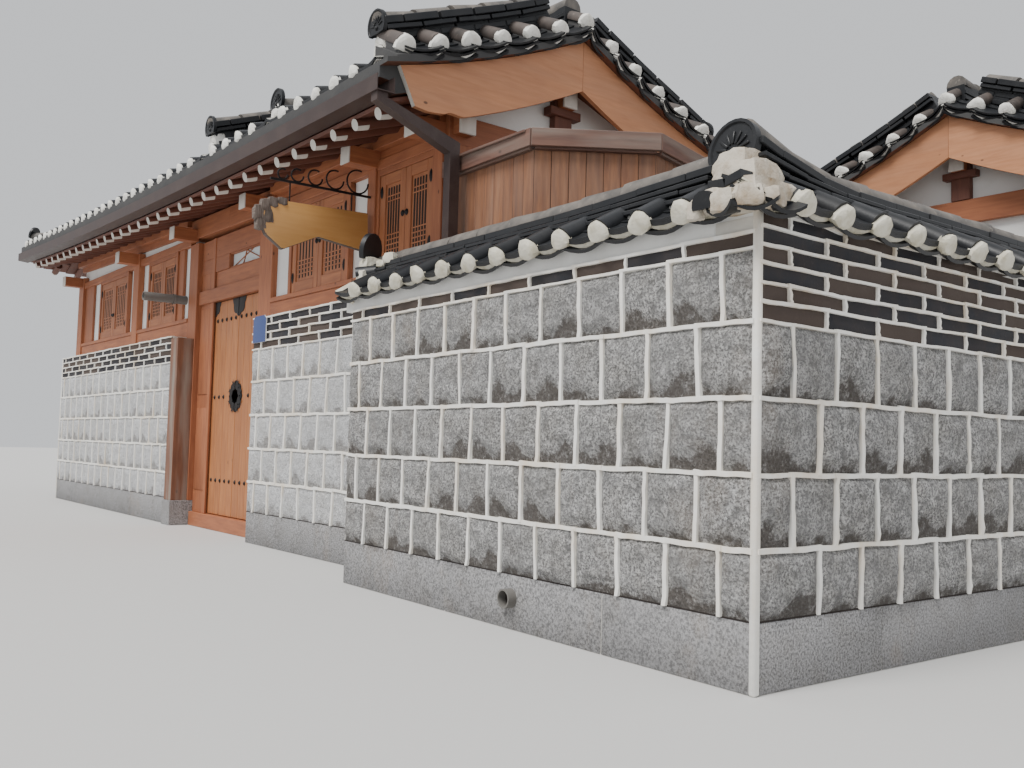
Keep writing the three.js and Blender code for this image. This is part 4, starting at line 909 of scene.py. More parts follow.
class Stock:
    """The shapes that are copied all over the house."""

    def __init__(self) -> None:
        self.bar = self._bar("bar", 0.004)
        self.ribbon = self._bar("ribbon", 0.009)
        self.strips = [self._strip(i) for i in range(5)]
        self.lumps = [self._lump(i) for i in range(3)]
        self.bricks = [self._brick(i) for i in range(3)]
        self.stones = [self._stone(i, 10) for i in range(6)]
        self.plain_stones = [self._stone(i + 10, 5) for i in range(5)]
        self.round_tile = self._round_tile()
        self.trough = self._trough("trough", 0.026, 0.014)
        self.lip = self._trough("lip", 0.046, 0.020)
        self.plugs = [self._plug(i) for i in range(4)]
        self.log = self._log()
        self.stud = self._stud()
        self.end_tile = self._end_tile()

    @staticmethod
    def _bar(name: str, edge: float) -> Pattern:
        """Makes a one-metre bar with eased edges."""
        hand = Hand(name).block()
        return Pattern(hand.bevel(edge))

    @staticmethod
    def _strip(seed: int) -> Pattern:
        """Makes a wavy strip of mortar: one metre along X and Z, raised towards +Y."""
        hand = Hand("strip").cube((-0.5, -0.014, -0.5), (0.5, 0.021, 0.5))
        for i in range(1, 7):
            hand.cut((i / 7 - 0.5, 0, 0), (1, 0, 0))

        def wavy(point: Vector) -> Vector:
            spot = Vector((point.x * 3.4 + seed * 9.1, 0.5, 0.3))
            grow = (0.74 if point.y > 0 else 1.0) * (1 + 0.30 * noise.noise(spot * 2.3 + UP * point.z))
            return Vector((point.x, point.y + 0.006 * noise.noise(spot * 1.7),
                           point.z * grow + 0.30 * noise.noise(spot)))

        return Pattern(hand.reshape(wavy))

    @staticmethod
    def _lump(seed: int) -> Pattern:
        """Makes a rough lump of lime, one metre a side, with a narrower top."""
        hand = Hand("lump").block().subdivide(4)

        def rough(point: Vector) -> Vector:
            round_off = 1 - 0.55 * max(0.0, point.length - 0.52)
            ragged = 1 + 0.22 * noise.noise(point * 2.6 + Vector((seed * 4.7, 0, 0)))
            narrow = 1 - 0.16 * (point.z + 0.5)
            return Vector((point.x * narrow, point.y * narrow, point.z)) * round_off * ragged

        return Pattern(hand.reshape(rough))

    @staticmethod
    def _brick(seed: int) -> Pattern:
        """Makes a brick of one metre a side, with chipped edges."""
        hand = Hand("brick").block().bevel(0.004)
        hand.everything()
        bpy.ops.transform.vertex_random(offset=0.0022, seed=seed)
        return Pattern(hand)

    @staticmethod
    def _stone(seed: int, cells: int) -> Pattern:
        """Makes a split-faced stone: one metre wide and tall, its face towards +Y."""
        hand = Hand("stone").grid(cells, cells, TO_BACK)
        hand.rim().extrude_edges((0, -0.05, 0)).fill().outward()
        start = Vector((seed * 7.3, seed * 3.1, 0))

        def line(x: float) -> float:
            return -0.25 - 0.13 * (seed % 3) + 0.30 * noise.noise(Vector((x * 2.1, seed * 2.7, 0)))

        def rim(point: Vector) -> float:
            return min(0.5 - abs(point.x), 0.5 - abs(point.z))

        def split(point: Vector) -> Vector:
            if point.y < -0.01:
                return point
            swell = min(1.0, rim(point) / 0.14)
            lumps = noise.noise(point * 2.6 + start) * 0.6 + noise.noise(point * 7.5 + start) * 0.4
            chips = noise.voronoi(point * 3.6 + start)[0][0]
            shelf = min(1.0, max(0.0, (point.z - line(point.x)) / 0.09))
            out = 0.002 + swell * (0.003 + 0.018 * shelf + 0.014 * lumps + 0.008 * chips)
            edge = 1 - 0.016 * max(0.0, noise.noise(point * 9.0 + start))
            return Vector((point.x * edge, out, point.z * edge))

        # Painted shade per point: dark below the shelf's ragged line, where the recess would lie in shadow,
        # and along the rim, as shade with some dirt next to the mortar.
        def dark(point: Vector) -> float:
            return min(1.0, max(0.42 - 4.0 * rim(point), 0.5 + (line(point.x) - point.z) / 0.12, 0.0))

        return Pattern(hand.reshape(split), None, dark)

    @staticmethod
    def _round_tile() -> Pattern:
        """Makes a half-round tile, one metre along X, wider at its lower end."""
        hand = Hand("round_tile").tube(0.064, 1.0, 14, turn=TO_X)
        hand.shave((0, 0, -0.012), (0, 0, -1))
        hand.faces(lambda middle, normal: normal.x < -0.5).scale((1, 0.9, 0.9))
        return Pattern(hand.outward())

    @staticmethod
    def _trough(name: str, sag: float, thick: float) -> Pattern:
        """Makes a hollow tile, one metre along X, that sags between two rows of round ones."""
        width = 0.30
        hand = Hand(name).grid(1, 6)
        hand.everything().scale((1, width, 1))
        hand.reshape(lambda p: Vector((p.x, p.y, sag * ((2 * p.y / width) ** 2) + 0.010)))
        hand.everything().extrude((0, 0, -thick)).outward()
        return Pattern(hand)

    @staticmethod
    def _plug(seed: int) -> Pattern:
        """Makes the lump of lime that closes a round tile's end, facing +X."""
        hand = Hand("plug").disc(0.064, 14, turn=TO_X)
        hand.everything().extrude((0.032, 0, 0)).scale((1, 0.95, 0.97))
        hand.inset(0.013).move((0.012, 0, 0)).inset(0.020).move((0.007, 0, 0.003))
        luck = random.Random(seed)
        lean = luck.uniform(-0.16, 0.16)

        def pinch(point: Vector) -> Vector:
            spot = point * 17 + Vector((seed * 5.0, 0, 0))
            grow = 1 + 0.20 * noise.noise(spot)
            flare = 1.04 - 0.22 * max(-0.9, point.z / 0.064)
            tall = 0.90 if point.z > 0 else 0.78
            return Vector((point.x + 0.14 * max(0.0, -point.z) + 0.007 * noise.noise(spot * 1.8),
                           point.y * flare * grow + lean * point.z, point.z * tall * grow))

        return Pattern(hand.outward().reshape(pinch))

    @staticmethod
    def _log() -> Pattern:
        """Makes a round rafter, one metre along X, with its painted end and underside at +X."""
        hand = Hand("log").tube(0.048, 1.0, 14, turn=TO_X)
        hand.cut((0.38, 0, 0), (1, 0, 0))
        hand.faces(lambda middle, normal: normal.x > 0.8).scale((1, 0.9, 0.9))

        def painted(middle: Vector, normal: Vector) -> int:
            return int(middle.x > 0.4 and (normal.x > 0.8 or normal.z < -0.3))

        return Pattern(hand, painted)

    @staticmethod
    def _stud() -> Pattern:
        """Makes a flat-domed nail head that faces +Y."""
        hand = Hand("stud").disc(0.016, 8, turn=TO_Y)
        hand.everything().extrude((0, 0.005, 0)).scale((0.8, 1, 0.8)).inset(0.005).move((0, 0.004, 0))
        return Pattern(hand.outward())

    @staticmethod
    def _end_tile() -> Pattern:
        """Makes an upright end tile: one metre wide, rounded on top, facing +X, with rays on it."""
        hand = Hand("end_tile").tube(0.5, 0.16, 24, turn=TO_X)
        hand.shave((0, 0, -0.28), (0, 0, -1)).outward()
        hand.faces(lambda middle, normal: normal.x > 0.8)
        hand.inset(0.055).inset(0.02, -0.035)
        for i in range(7):
            angle = math.radians(15 + 25 * i)
            middle = Vector((0.06, 0.24 * math.cos(angle), 0.24 * math.sin(angle) - 0.06))
            bpy.ops.mesh.primitive_cube_add(
                size=1, location=middle, rotation=(angle, 0, 0), scale=(0.05, 0.22, 0.045))
            bpy.ops.mesh.bevel(offset=0.012, segments=1, affect="EDGES")
        bpy.ops.mesh.primitive_uv_sphere_add(
            segments=10, ring_count=6, radius=0.07, location=(0.06, 0, -0.10))
        return Pattern(hand)


# Masonry


@dataclass(frozen=True)
class Face:
    """An upright face of masonry: where it starts, the way it runs and how long it is."""

    start: Vector
    along: Vector
    length: float

    def at(self, along: float, out: float, height: float) -> Matrix:
        """Gives the place of a block on the face, with Y pointing out of the wall."""
        outward = self.along.cross(UP) * -1
        turn = Matrix((self.along, outward, UP)).transposed().to_4x4()
        spot = self.start + self.along * along + outward * out + UP * height
        return Matrix.Translation(spot) @ turn


def face_of_wing(wing: Wing, first: float, last: float, reach: float) -> Face:
    """Makes the face of a wing's outer base between two places along it."""
    start = wing.matrix @ Vector((first, reach, 0))
    end = wing.matrix @ Vector((last, reach, 0))
    return Face(start, (end - start).normalized(), (end - start).length)


@dataclass
class StoneFace:
    """Courses of split stones with raised mortar, and bricks above them."""

    face: Face
    tops: Sequence[float]
    brick_tops: Sequence[float]
    fine: bool = False
    firsts: Span = (0.177, 0.308)
    brick_firsts: Span = (0.400, 0.200)
    pitch: float = 0.307
    brick_pitch: float = 0.385
    joint: float = 0.026
    corner: float = 0.0
    from_end: bool = False
    seed: int = 1
    bulge: float = 1.0
    slab_length: float = 1.35

    def stones(self, to: Gathering, stock: Stock) -> None:
        """Lays the plinth's slabs, a thin near-black bar of painted shadow and dirt in the joint along their
        top, and the split stones.
        """
        pick = stock.stones if self.fine else stock.plain_stones
        luck = random.Random(self.seed)
        for start, end in self._cells(self.slab_length, 0.9):
            size = (end - start - 0.003, 0.06, self.tops[0] - 0.002)
            to.add(stock.bar, self.face.at((start + end) / 2, -0.026, self.tops[0] / 2), size, 1)
        # A thin near-black bar over the slabs: painted shadow, with some dirt, in the open joint.
        joint = (self.face.length, 0.05, 0.007)
        to.add(stock.bar, self.face.at(self.face.length / 2, -0.0195, self.tops[0] + 0.001), joint, 2)
        for row, (low, high) in enumerate(zip(self.tops, self.tops[1:])):
            for start, end in self._cells(self.pitch, self.firsts[row % 2]):
                width, height = end - start - self.joint + 0.008, high - low - self.joint + 0.008
                if width < 0.05:
                    continue
                lean = Matrix.Rotation(luck.uniform(-0.012, 0.012), 4, "Y")
                foot = 0.0 if row else 0.007
                deep = self.bulge * luck.uniform(0.75, 1.25)
                size = grown(width * luck.choice((-1, 1)), deep, height + foot)
                place = self.face.at((start + end) / 2, 0.0, (low + high - foot) / 2)
                to.add(luck.choice(pick), place @ lean @ size)

    def mortar(self, to: Gathering, stock: Stock) -> None:
        """Lays the raised strips of mortar round the stones and between the bricks."""
        luck = random.Random(self.seed + 50)
        tops = [*self.tops, *self.brick_tops]
        for row, (low, high) in enumerate(zip(tops, tops[1:])):
            stone = row < len(self.tops) - 1
            cells = (self._cells(self.pitch, self.firsts[row % 2]) if stone
                     else self._cells(self.brick_pitch, self.brick_firsts[(row + 1 - len(self.tops)) % 2]))
            top_wide = (0.023, 0.030) if high < self.tops[-1] else (0.015, 0.021)
            for start, end in cells:
                first, last = max(0.004, start - 0.015), min(self.face.length - 0.004, end + 0.015)
                self._strip(to, stock, luck, ((first + last) / 2, high, luck.uniform(-0.012, 0.012)),
                            last - first, luck.uniform(*top_wide))
            for start, _ in cells[1:]:
                lean = math.pi / 2 + luck.uniform(-0.05, 0.05)
                wide = luck.uniform(0.024, 0.034) if stone else luck.uniform(0.016, 0.026)
                self._strip(to, stock, luck, (start, (low + high) / 2, lean), high - low, wide)
        if self.corner:
            at = self.face.length + 0.012 - self.corner / 2
            size = (self.corner, 0.034, tops[-1])
            to.add(stock.ribbon, self.face.at(at, -0.005, tops[-1] / 2), size)

    def _strip(self, to: Gathering, stock: Stock, luck: random.Random, at: tuple[float, float, float],
               length: float, wide: float) -> None:
        """Lays one strip: its place along and up the face and its turn, its length and width."""
        along, height, lean = at
        place = self.face.at(along, -0.004, height) @ Matrix.Rotation(lean, 4, "Y")
        to.add(luck.choice(stock.strips), place @ grown(length, 1, wide))

    def bricks(self, to: Gathering, stock: Stock) -> None:
        """Lays the dark bricks."""
        luck = random.Random(self.seed + 90)
        lows = [self.tops[-1], *self.brick_tops[:-1]]
        for row, (low, high) in enumerate(zip(lows, self.brick_tops)):
            for start, end in self._cells(self.brick_pitch, self.brick_firsts[row % 2]):
                width = end - start - 0.012
                if width < 0.04:
                    continue
                size = (width, 0.05, high - low - 0.012)
                lean = Matrix.Rotation(luck.uniform(-0.010, 0.010), 4, "Y")
                place = self.face.at((start + end) / 2, -0.021 + luck.uniform(0, 0.003), (low + high) / 2)
                to.add(luck.choice(stock.bricks), place @ lean, size)

    def _cells(self, pitch: float, first: float) -> list[Span]:
        """Divides the face from its corner into a first stone and others of one length."""
        marks = [0.0]
        while first < self.face.length - 0.10:
            marks.append(first)
            first += pitch
        marks.append(self.face.length)
        if self.from_end:
            marks = [self.face.length - mark for mark in reversed(marks)]
        return list(zip(marks, marks[1:]))


@dataclass
class YardWall:
    """The granite wall of the front yard."""

    front_length: float = 3.53
    side_length: float = 6.15
    thick: float = 0.45
    back_length: float = 0.887
    front_bricks: tuple[float, ...] = (1.884,)
    side_bricks: tuple[float, ...] = (1.597, 1.673, 1.755, 1.833, 1.906, 1.972)

    def build(self, stock: Stock, look: Palette) -> None:
        """Builds the stones, bricks and mortar of both arms."""
        turn = SITE.to_3x3()
        side_tops = STONE_TOPS[:5]
        left, corner = SITE @ Vector((-self.front_length, 0, 0)), SITE @ Vector((0, 0, 0))
        far = SITE @ Vector((0, self.side_length, 0))
        inner = SITE @ Vector((-self.front_length, self.thick, 0))
        front = Face(corner, turn @ Vector((-1, 0, 0)), (corner - left).length)
        side = Face(far, turn @ Vector((0, -1, 0)), (far - corner).length)
        yard_front = Face(inner, turn @ Vector((1, 0, 0)), self.front_length - self.thick)
        yard_side = Face(SITE @ Vector((-self.thick, self.thick, 0)), turn @ Vector((0, 1, 0)),
                         self.side_length - self.thick)
        back = Face(SITE @ Vector((-self.back_length, self.side_length, 0)), turn @ Vector((1, 0, 0)),
                    self.back_length)
        faces = [
            StoneFace(front, STONE_TOPS, self.front_bricks, True, brick_pitch=0.370, seed=3),
            StoneFace(side, side_tops, self.side_bricks, True, (0.415, 0.225), (0.455, 0.200),
                      0.311, 0.393, corner=0.040, from_end=True, seed=4),
            StoneFace(yard_front, STONE_TOPS, self.front_bricks, seed=5),
            StoneFace(yard_side, side_tops, self.side_bricks, seed=6),
            StoneFace(back, side_tops, self.side_bricks, seed=7, corner=0.03, from_end=True),
        ]
        Masonry("yard_wall").build(faces, stock, look)
        self._drain(look)

    @staticmethod
    def _drain(look: Palette) -> None:
        """Builds the open end of the drain in the plinth."""
        hand = Hand("drain").tube(0.052, 0.075, 20, turn=TO_BACK)
        hand.faces(lambda middle, normal: abs(normal.y) > 0.8).inset(0.009)
        hand.extrude((0, 0, 0))
        hand.faces(lambda middle, normal: normal.y < -0.8 and middle.xz.length < 0.02).move((0, 0.05, 0))
        # The pipe's inner faces take the near-black finish: painted shadow inside the pipe.
        pattern = Pattern(hand, lambda middle, normal: 1 if middle.xz.length < 0.042 else 0)
        made = Gathering("drain_end")
        made.add(pattern, SITE @ Matrix.Translation((-1.61, -0.02, 0.165)))
        made.piece([look.pipe, look.painted_shadow], "granite")


@dataclass
class Masonry:
    """Stone faces joined into pieces for their stones, bricks and mortar."""

    name: str

    def build(self, faces: Sequence[StoneFace], stock: Stock, look: Palette,
              stone: bpy.types.Material | None = None) -> None:
        """Builds the three pieces, with the yard wall's stone if no other one is given."""
        stones = Gathering(f"{self.name}_stones", 11)
        mortar = Gathering(f"{self.name}_mortar", 12)
        bricks = Gathering(f"{self.name}_bricks", 13)
        for face in faces:
            face.stones(stones, stock)
            face.mortar(mortar, stock)
            face.bricks(bricks, stock)
        stones.piece([stone or look.stone, look.slab, look.painted_shadow], "granite", smooth=50)
        mortar.piece([look.mortar], "granite", smooth=50)
        bricks.piece([look.brick], "granite")


# Roofing


@dataclass
class TileRun:
    """How tiles are laid: sizes shared by the roofs and the copings."""

    pitch: float = 0.288
    round_length: float = 0.30
    hollow_length: float = 0.155
    rise: float = 0.026

    def round_row(self, to: Gathering, stock: Stock, places: Sequence[Vector], up: Vector,
                  finish: int = 0) -> None:
        """Lays round tiles through the places, from the top one down."""
        for start, end in zip(places, places[1:]):
            length = (end - start).length
            to.add(stock.round_tile, heading(start, end, up, length), finish=finish)

    def hollow_row(self, to: Gathering, stock: Stock, places: Sequence[Vector], up: Vector) -> None:
        """Lays hollow tiles through the places, each lapping over the next one down."""
        tilt = up * 0.012
        for start, end in zip(places, places[1:]):
            length = (end - start).length * 1.12
            to.add(stock.trough, heading(start, end + tilt, up, length))

    def end(self, to: Gathering, stock: Stock, at: Vector, out: Vector, up: Vector,
            luck: random.Random, grow: float = 1.0) -> None:
        """Closes a round row with its lump of lime."""
        place = heading(at - out * 0.01, at + out * 0.01, up)
        size = grow * luck.uniform(0.93, 1.05)
        to.add(luck.choice(stock.plugs), place @ grown(1, size, size), finish=1)

    def lips(self, to: Gathering, stock: Stock, at: Vector, out: Vector, up: Vector,
             drop: float = 0.0) -> None:
        """Ends a hollow row with two lapped tiles and, between their edges, a pale crescent in the lime
        finish: a painted reflection of the sky on the tiles' glossy edges.
        """
        # The middle layer, set back and in the pale lime finish, is the painted reflection of the sky.
        layers = ((0.0, 0.0, 0.8, 0), (0.020, -0.012, 1.3, 1), (0.043, 0.004, 0.9, 0))
        for lower, reach, thick, finish in layers:
            end = at + out * reach - up * (lower + drop)
            start = end - out * 0.16 + up * 0.008
            place = heading(start, end, up, (end - start).length)
            to.add(stock.lip, place @ grown(1, 1, thick), finish=finish)


@dataclass
class StackedRidge:
    """A ridge of flat tiles in tiers, with a row of round tiles on top."""

    half: float
    height: float
    tiers: Sequence[tuple[float, float, float]]
    cap_scale: float = 1.35
    tile: float = 0.30

    @staticmethod
    def even(count: int, top: float, width: float) -> list[tuple[float, float, float]]:
        """Divides a height into even tiers, each a little narrower than the one below.

        Args:
            count: How many tiers.
            top: Where the upper one ends.
            width: Width of the lowest one.

        Returns:
            Low edge, high edge and width of each tier.
        """
        step = top / count
        return [(step * (k + 0.24), step * (k + 0.86), width * (1.0 - 0.05 * (k % 2)) - 0.012 * k)
                for k in range(count)]

    def build(self, to: Gathering, stock: Stock, path: Callable[[float], Vector], length: float,
              luck: random.Random, swell: Callable[[float], float] = lambda d: 0.0) -> None:
        """Lays the ridge along a path.

        Args:
            to: Where the tiles go.
            stock: The patterns.
            path: Gives the place of the ridge's foot at a distance along it.
            length: How far it runs.
            luck: Source of the small differences.
            swell: Says how much the top is raised at a distance along the path.
        """
        count = max(1, round(length / self.tile))
        step = length / count
        body = self.height - 0.075 * self.cap_scale
        for i in range(count):
            a, b = path(i * step), path((i + 1) * step)
            core = (step * 1.02, 2 * self.half * 0.72, body * 0.96)
            to.add(stock.bar, heading(a, b) @ Matrix.Translation((0, 0, body / 2)), core, 2)
            nod = Matrix.Rotation(luck.uniform(-0.02, 0.02), 4, "Z")
            cap = heading(a + UP * swell(i * step), b + UP * swell((i + 1) * step), UP, step)
            cap = cap @ Matrix.Translation((0, 0, body - 0.004)) @ nod
            cap = cap @ grown(1, self.cap_scale, self.cap_scale)
            to.add(stock.round_tile, cap, finish=3)
        for k, (low, high, wide) in enumerate(self.tiers):
            shift = 0.5 * (k % 2)
            for i in range(count + (1 if shift else 0)):
                start, end = max(0.0, (i - shift) * step), min(length, (i + 1 - shift) * step)
                size = (end - start - 0.002, wide + luck.uniform(-0.010, 0.010), high - low)
                nod = Matrix.Rotation(luck.uniform(-0.012, 0.012), 4, "Y")
                share = (low + high) / 2 / body
                ends = [path(d) + UP * swell(d) * share for d in (start, end)]
                place = heading(*ends) @ Matrix.Translation((0, 0, (low + high) / 2))
                to.add(stock.bar, place @ nod, size, 0)


@dataclass
class Coping:
    """The tiled top of the yard wall."""

    reach: float = 0.325
    neck: float = 0.120
    eave_z: float = 1.985
    neck_z: float = 2.085
    middle: float = 0.225
    run: TileRun = field(default_factory=TileRun)

    def build(self, stock: Stock, look: Palette) -> None:
        """Builds the front's and the side's tiles and the raised corner."""
        finishes = [look.tile, look.plug, look.tile, look.cap, look.plaster, look.daub]
        front = Gathering("coping_front_tiles", 21)
        self._arm(front, stock, Vector((-0.325, self.middle, 0)), Vector((-1, 0, 0)), 3.20,
                  (0.005, 0.274), 22, (1.884, 2.04), lambda d: 0.040 * max(0.0, 1 - d / 0.9))
        self._far_end(front, stock)
        front.piece(finishes, "roof_tile", replaces=("coping_front",))
        side = Gathering("coping_side_tiles", 24)
        self._arm(side, stock, Vector((-self.middle, 0.10, 0)), Vector((0, 1, 0)), 6.12,
                  (0.079, 0.284), 25, (1.945, 2.04), lambda d: 0.19 * max(0.0, 1 - (d + 0.08) / 0.9) ** 2)
        self._arm(side, stock, Vector((-0.92, 5.925, 0)), Vector((1, 0, 0)), 0.70, (0.05, 0.284), 28,
                  (1.945, 2.04))
        self._corner(side, stock)
        side.piece(finishes, "roof_tile", replaces=("coping_side",))

    def _arm(self, to: Gathering, stock: Stock, start: Vector, along: Vector, length: float,
             rows: Span, seed: int, band: Span, swell: Callable[[float], float] = lambda d: 0.0) -> None:
        """Tiles one straight arm on both of its sides.

        Args:
            to: Where the tiles go.
            stock: The patterns.
            start: Where the arm starts, on the ground.
            along: The way it runs.
            length: How far it runs.
            rows: Place of the first round row and the rows' pitch.
            seed: Seed of its small differences.
            band: Bottom and top of the plaster under the tiles.
            swell: Says how much the ridge is raised at a distance along the arm.
        """
        luck = random.Random(seed)
        turn = SITE.to_3x3()
        first, pitch = rows
        middle = start + along * length / 2
        for z, size in ((sum(band) / 2, (length + 0.20, 0.458, band[1] - band[0])),
                        (2.065, (length - 0.04, 0.36, 0.06))):
            core = SITE @ heading(middle - along * 0.1 + UP * z, middle + along * 0.1 + UP * z)
            to.add(stock.bar, core, size, 4)
        for side in (1, -1):
            out = along.cross(UP) * side
            lean = Vector((0, 0, self.eave_z - self.neck_z)) + out * (self.reach - self.neck)
            up = turn @ skyward(lean.cross(along))
            nearest = 0.32 if (Vector((-1.8, 3.0, 0)) - start).dot(out) > 0 else -0.15
            for i in range(-1, 2 * int((length - first) / pitch) + 2):
                place = first + i * pitch / 2
                is_round = i % 2 == 0
                if not nearest < place < length:
                    continue
                sway = luck.uniform(-0.006, 0.006)
                high = start + along * place + out * self.neck + UP * self.neck_z
                low = start + along * (place + sway) + out * (self.reach - 0.03)
                low = low + UP * (self.eave_z + sway)
                ends = [SITE @ high, SITE @ ((high + low) / 2), SITE @ low]
                towards = (ends[-1] - ends[0]).normalized()
                if is_round:
                    lift = up * self.run.rise
                    self.run.round_row(to, stock, [ends[0] + lift, ends[-1] + lift], up)
                    self.run.end(to, stock, ends[-1] + lift - towards * 0.010, towards, up, luck)
                else:
                    self.run.hollow_row(to, stock, ends, up)
                    self.run.lips(to, stock, ends[-1] + towards * 0.006, towards, up)
        tiers = [(0.012, 0.036, 0.410), (0.044, 0.066, 0.375), (0.074, 0.097, 0.330),
                 (0.105, 0.142, 0.270)]
        ridge = StackedRidge(0.130, 0.254, tiers, 1.35, 0.31)
        foot = start + UP * 2.076
        ridge.build(to, stock, lambda d: SITE @ (foot + along * d), length, luck, swell)

    def _lime(self, to: Gathering, stock: Stock, at: Sequence[float], size: Sequence[float],
              turn: float = 0.0, number: int = 0, finish: int = 1) -> None:
        """Sets a rough lump of lime on the site."""
        place = SITE @ Matrix.Translation(at) @ Matrix.Rotation(turn, 4, "Z")
        to.add(stock.lumps[number % 3], place @ grown(*size), finish=finish)

    def _corner(self, to: Gathering, stock: Stock) -> None:
        """Builds the plastered mass over the corner, with tiles set in it and an end tile on top."""
        self._lime(to, stock, (-0.060, 0.015, 2.03), (0.34, 0.32, 0.13), 0.0, 0, 5)
        self._lime(to, stock, (-0.115, 0.070, 2.115), (0.27, 0.28, 0.18), 0.1, 1, 5)
        self._lime(to, stock, (-0.175, 0.115, 2.20), (0.20, 0.22, 0.16), 0.0, 2, 5)
        for x, y, z, tilt in ((-0.125, -0.072, 2.080, 0.06), (-0.040, -0.072, 2.090, -0.24)):
            place = SITE @ Matrix.Translation((x, y, z)) @ Matrix.Rotation(tilt, 4, "Y")
            to.add(stock.bar, place, (0.100, 0.09, 0.042), 2)
        lumps = (
            (-0.075, -0.118, 2.000, (0.12, 0.08, 0.10), 0.2),
            (0.040, -0.100, 2.000, (0.12, 0.11, 0.10), 0.7),
            (0.095, -0.015, 2.000, (0.08, 0.10, 0.09), 0.3),
            (-0.235, -0.115, 1.990, (0.07, 0.06, 0.09), 0.0))
        for number, (x, y, z, size, turn) in enumerate(lumps):
            self._lime(to, stock, (x, y, z), size, turn, number, 5)
        ends = [SITE @ Vector((-0.165, 0.02, 2.025)), SITE @ Vector((-0.165, -0.150, 1.990))]
        self.run.round_row(to, stock, ends, UP)
        for x, y in ((-0.08, -0.14), (0.08, -0.12), (0.13, 0.02)):
            ends = [SITE @ Vector((-0.02, 0.05, 2.00)), SITE @ Vector((x, y, 1.940))]
            place = heading(ends[0], ends[1], UP, (ends[1] - ends[0]).length)
            to.add(stock.lip, place @ grown(1, 0.62, 0.8))
        self._end(to, stock, Vector((-self.middle - 0.01, 0.125, 2.305)), Vector((0, -1, 0)), 0.27)

    def _far_end(self, to: Gathering, stock: Stock) -> None:
        """Builds the front arm's far end: end tile, lime under it and the last turned tiles."""
        self._end(to, stock, Vector((-3.50, self.middle - 0.12, 2.325)), Vector((-0.86, -0.51, 0)), 0.25)
        lumps = ((-3.47, 0.09, 2.205, (0.13, 0.14, 0.13)), (-3.41, 0.00, 2.115, (0.08, 0.07, 0.09)),
                 (-3.22, 0.11, 2.235, (0.10, 0.07, 0.08)), (-3.30, 0.09, 2.205, (0.08, 0.06, 0.05)))
        for number, (x, y, z, size) in enumerate(lumps):
            self._lime(to, stock, (x, y, z), size, 0.2 * number, number)
        ends = [SITE @ Vector((-3.38, 0.10, 2.15)), SITE @ Vector((-3.47, -0.01, 2.125))]
        self.run.round_row(to, stock, ends, UP)
        for y in (0.02, 0.30):
            ends = [SITE @ Vector((-3.36, y, 2.06)), SITE @ Vector((-3.515, y, 1.995))]
            self.run.round_row(to, stock, ends, UP)
            self.run.end(to, stock, ends[1], (ends[1] - ends[0]).normalized(), UP, random.Random(5))

    def _end(self, to: Gathering, stock: Stock, at: Vector, out: Vector, width: float) -> None:
        """Stands an end tile upright, leaning out a little."""
        lean = (out + UP * 0.16).normalized()
        place = SITE @ heading(at - lean * 0.01, at + lean * 0.01)
        to.add(stock.end_tile, place @ grown(width * 0.9, width, width), finish=0)


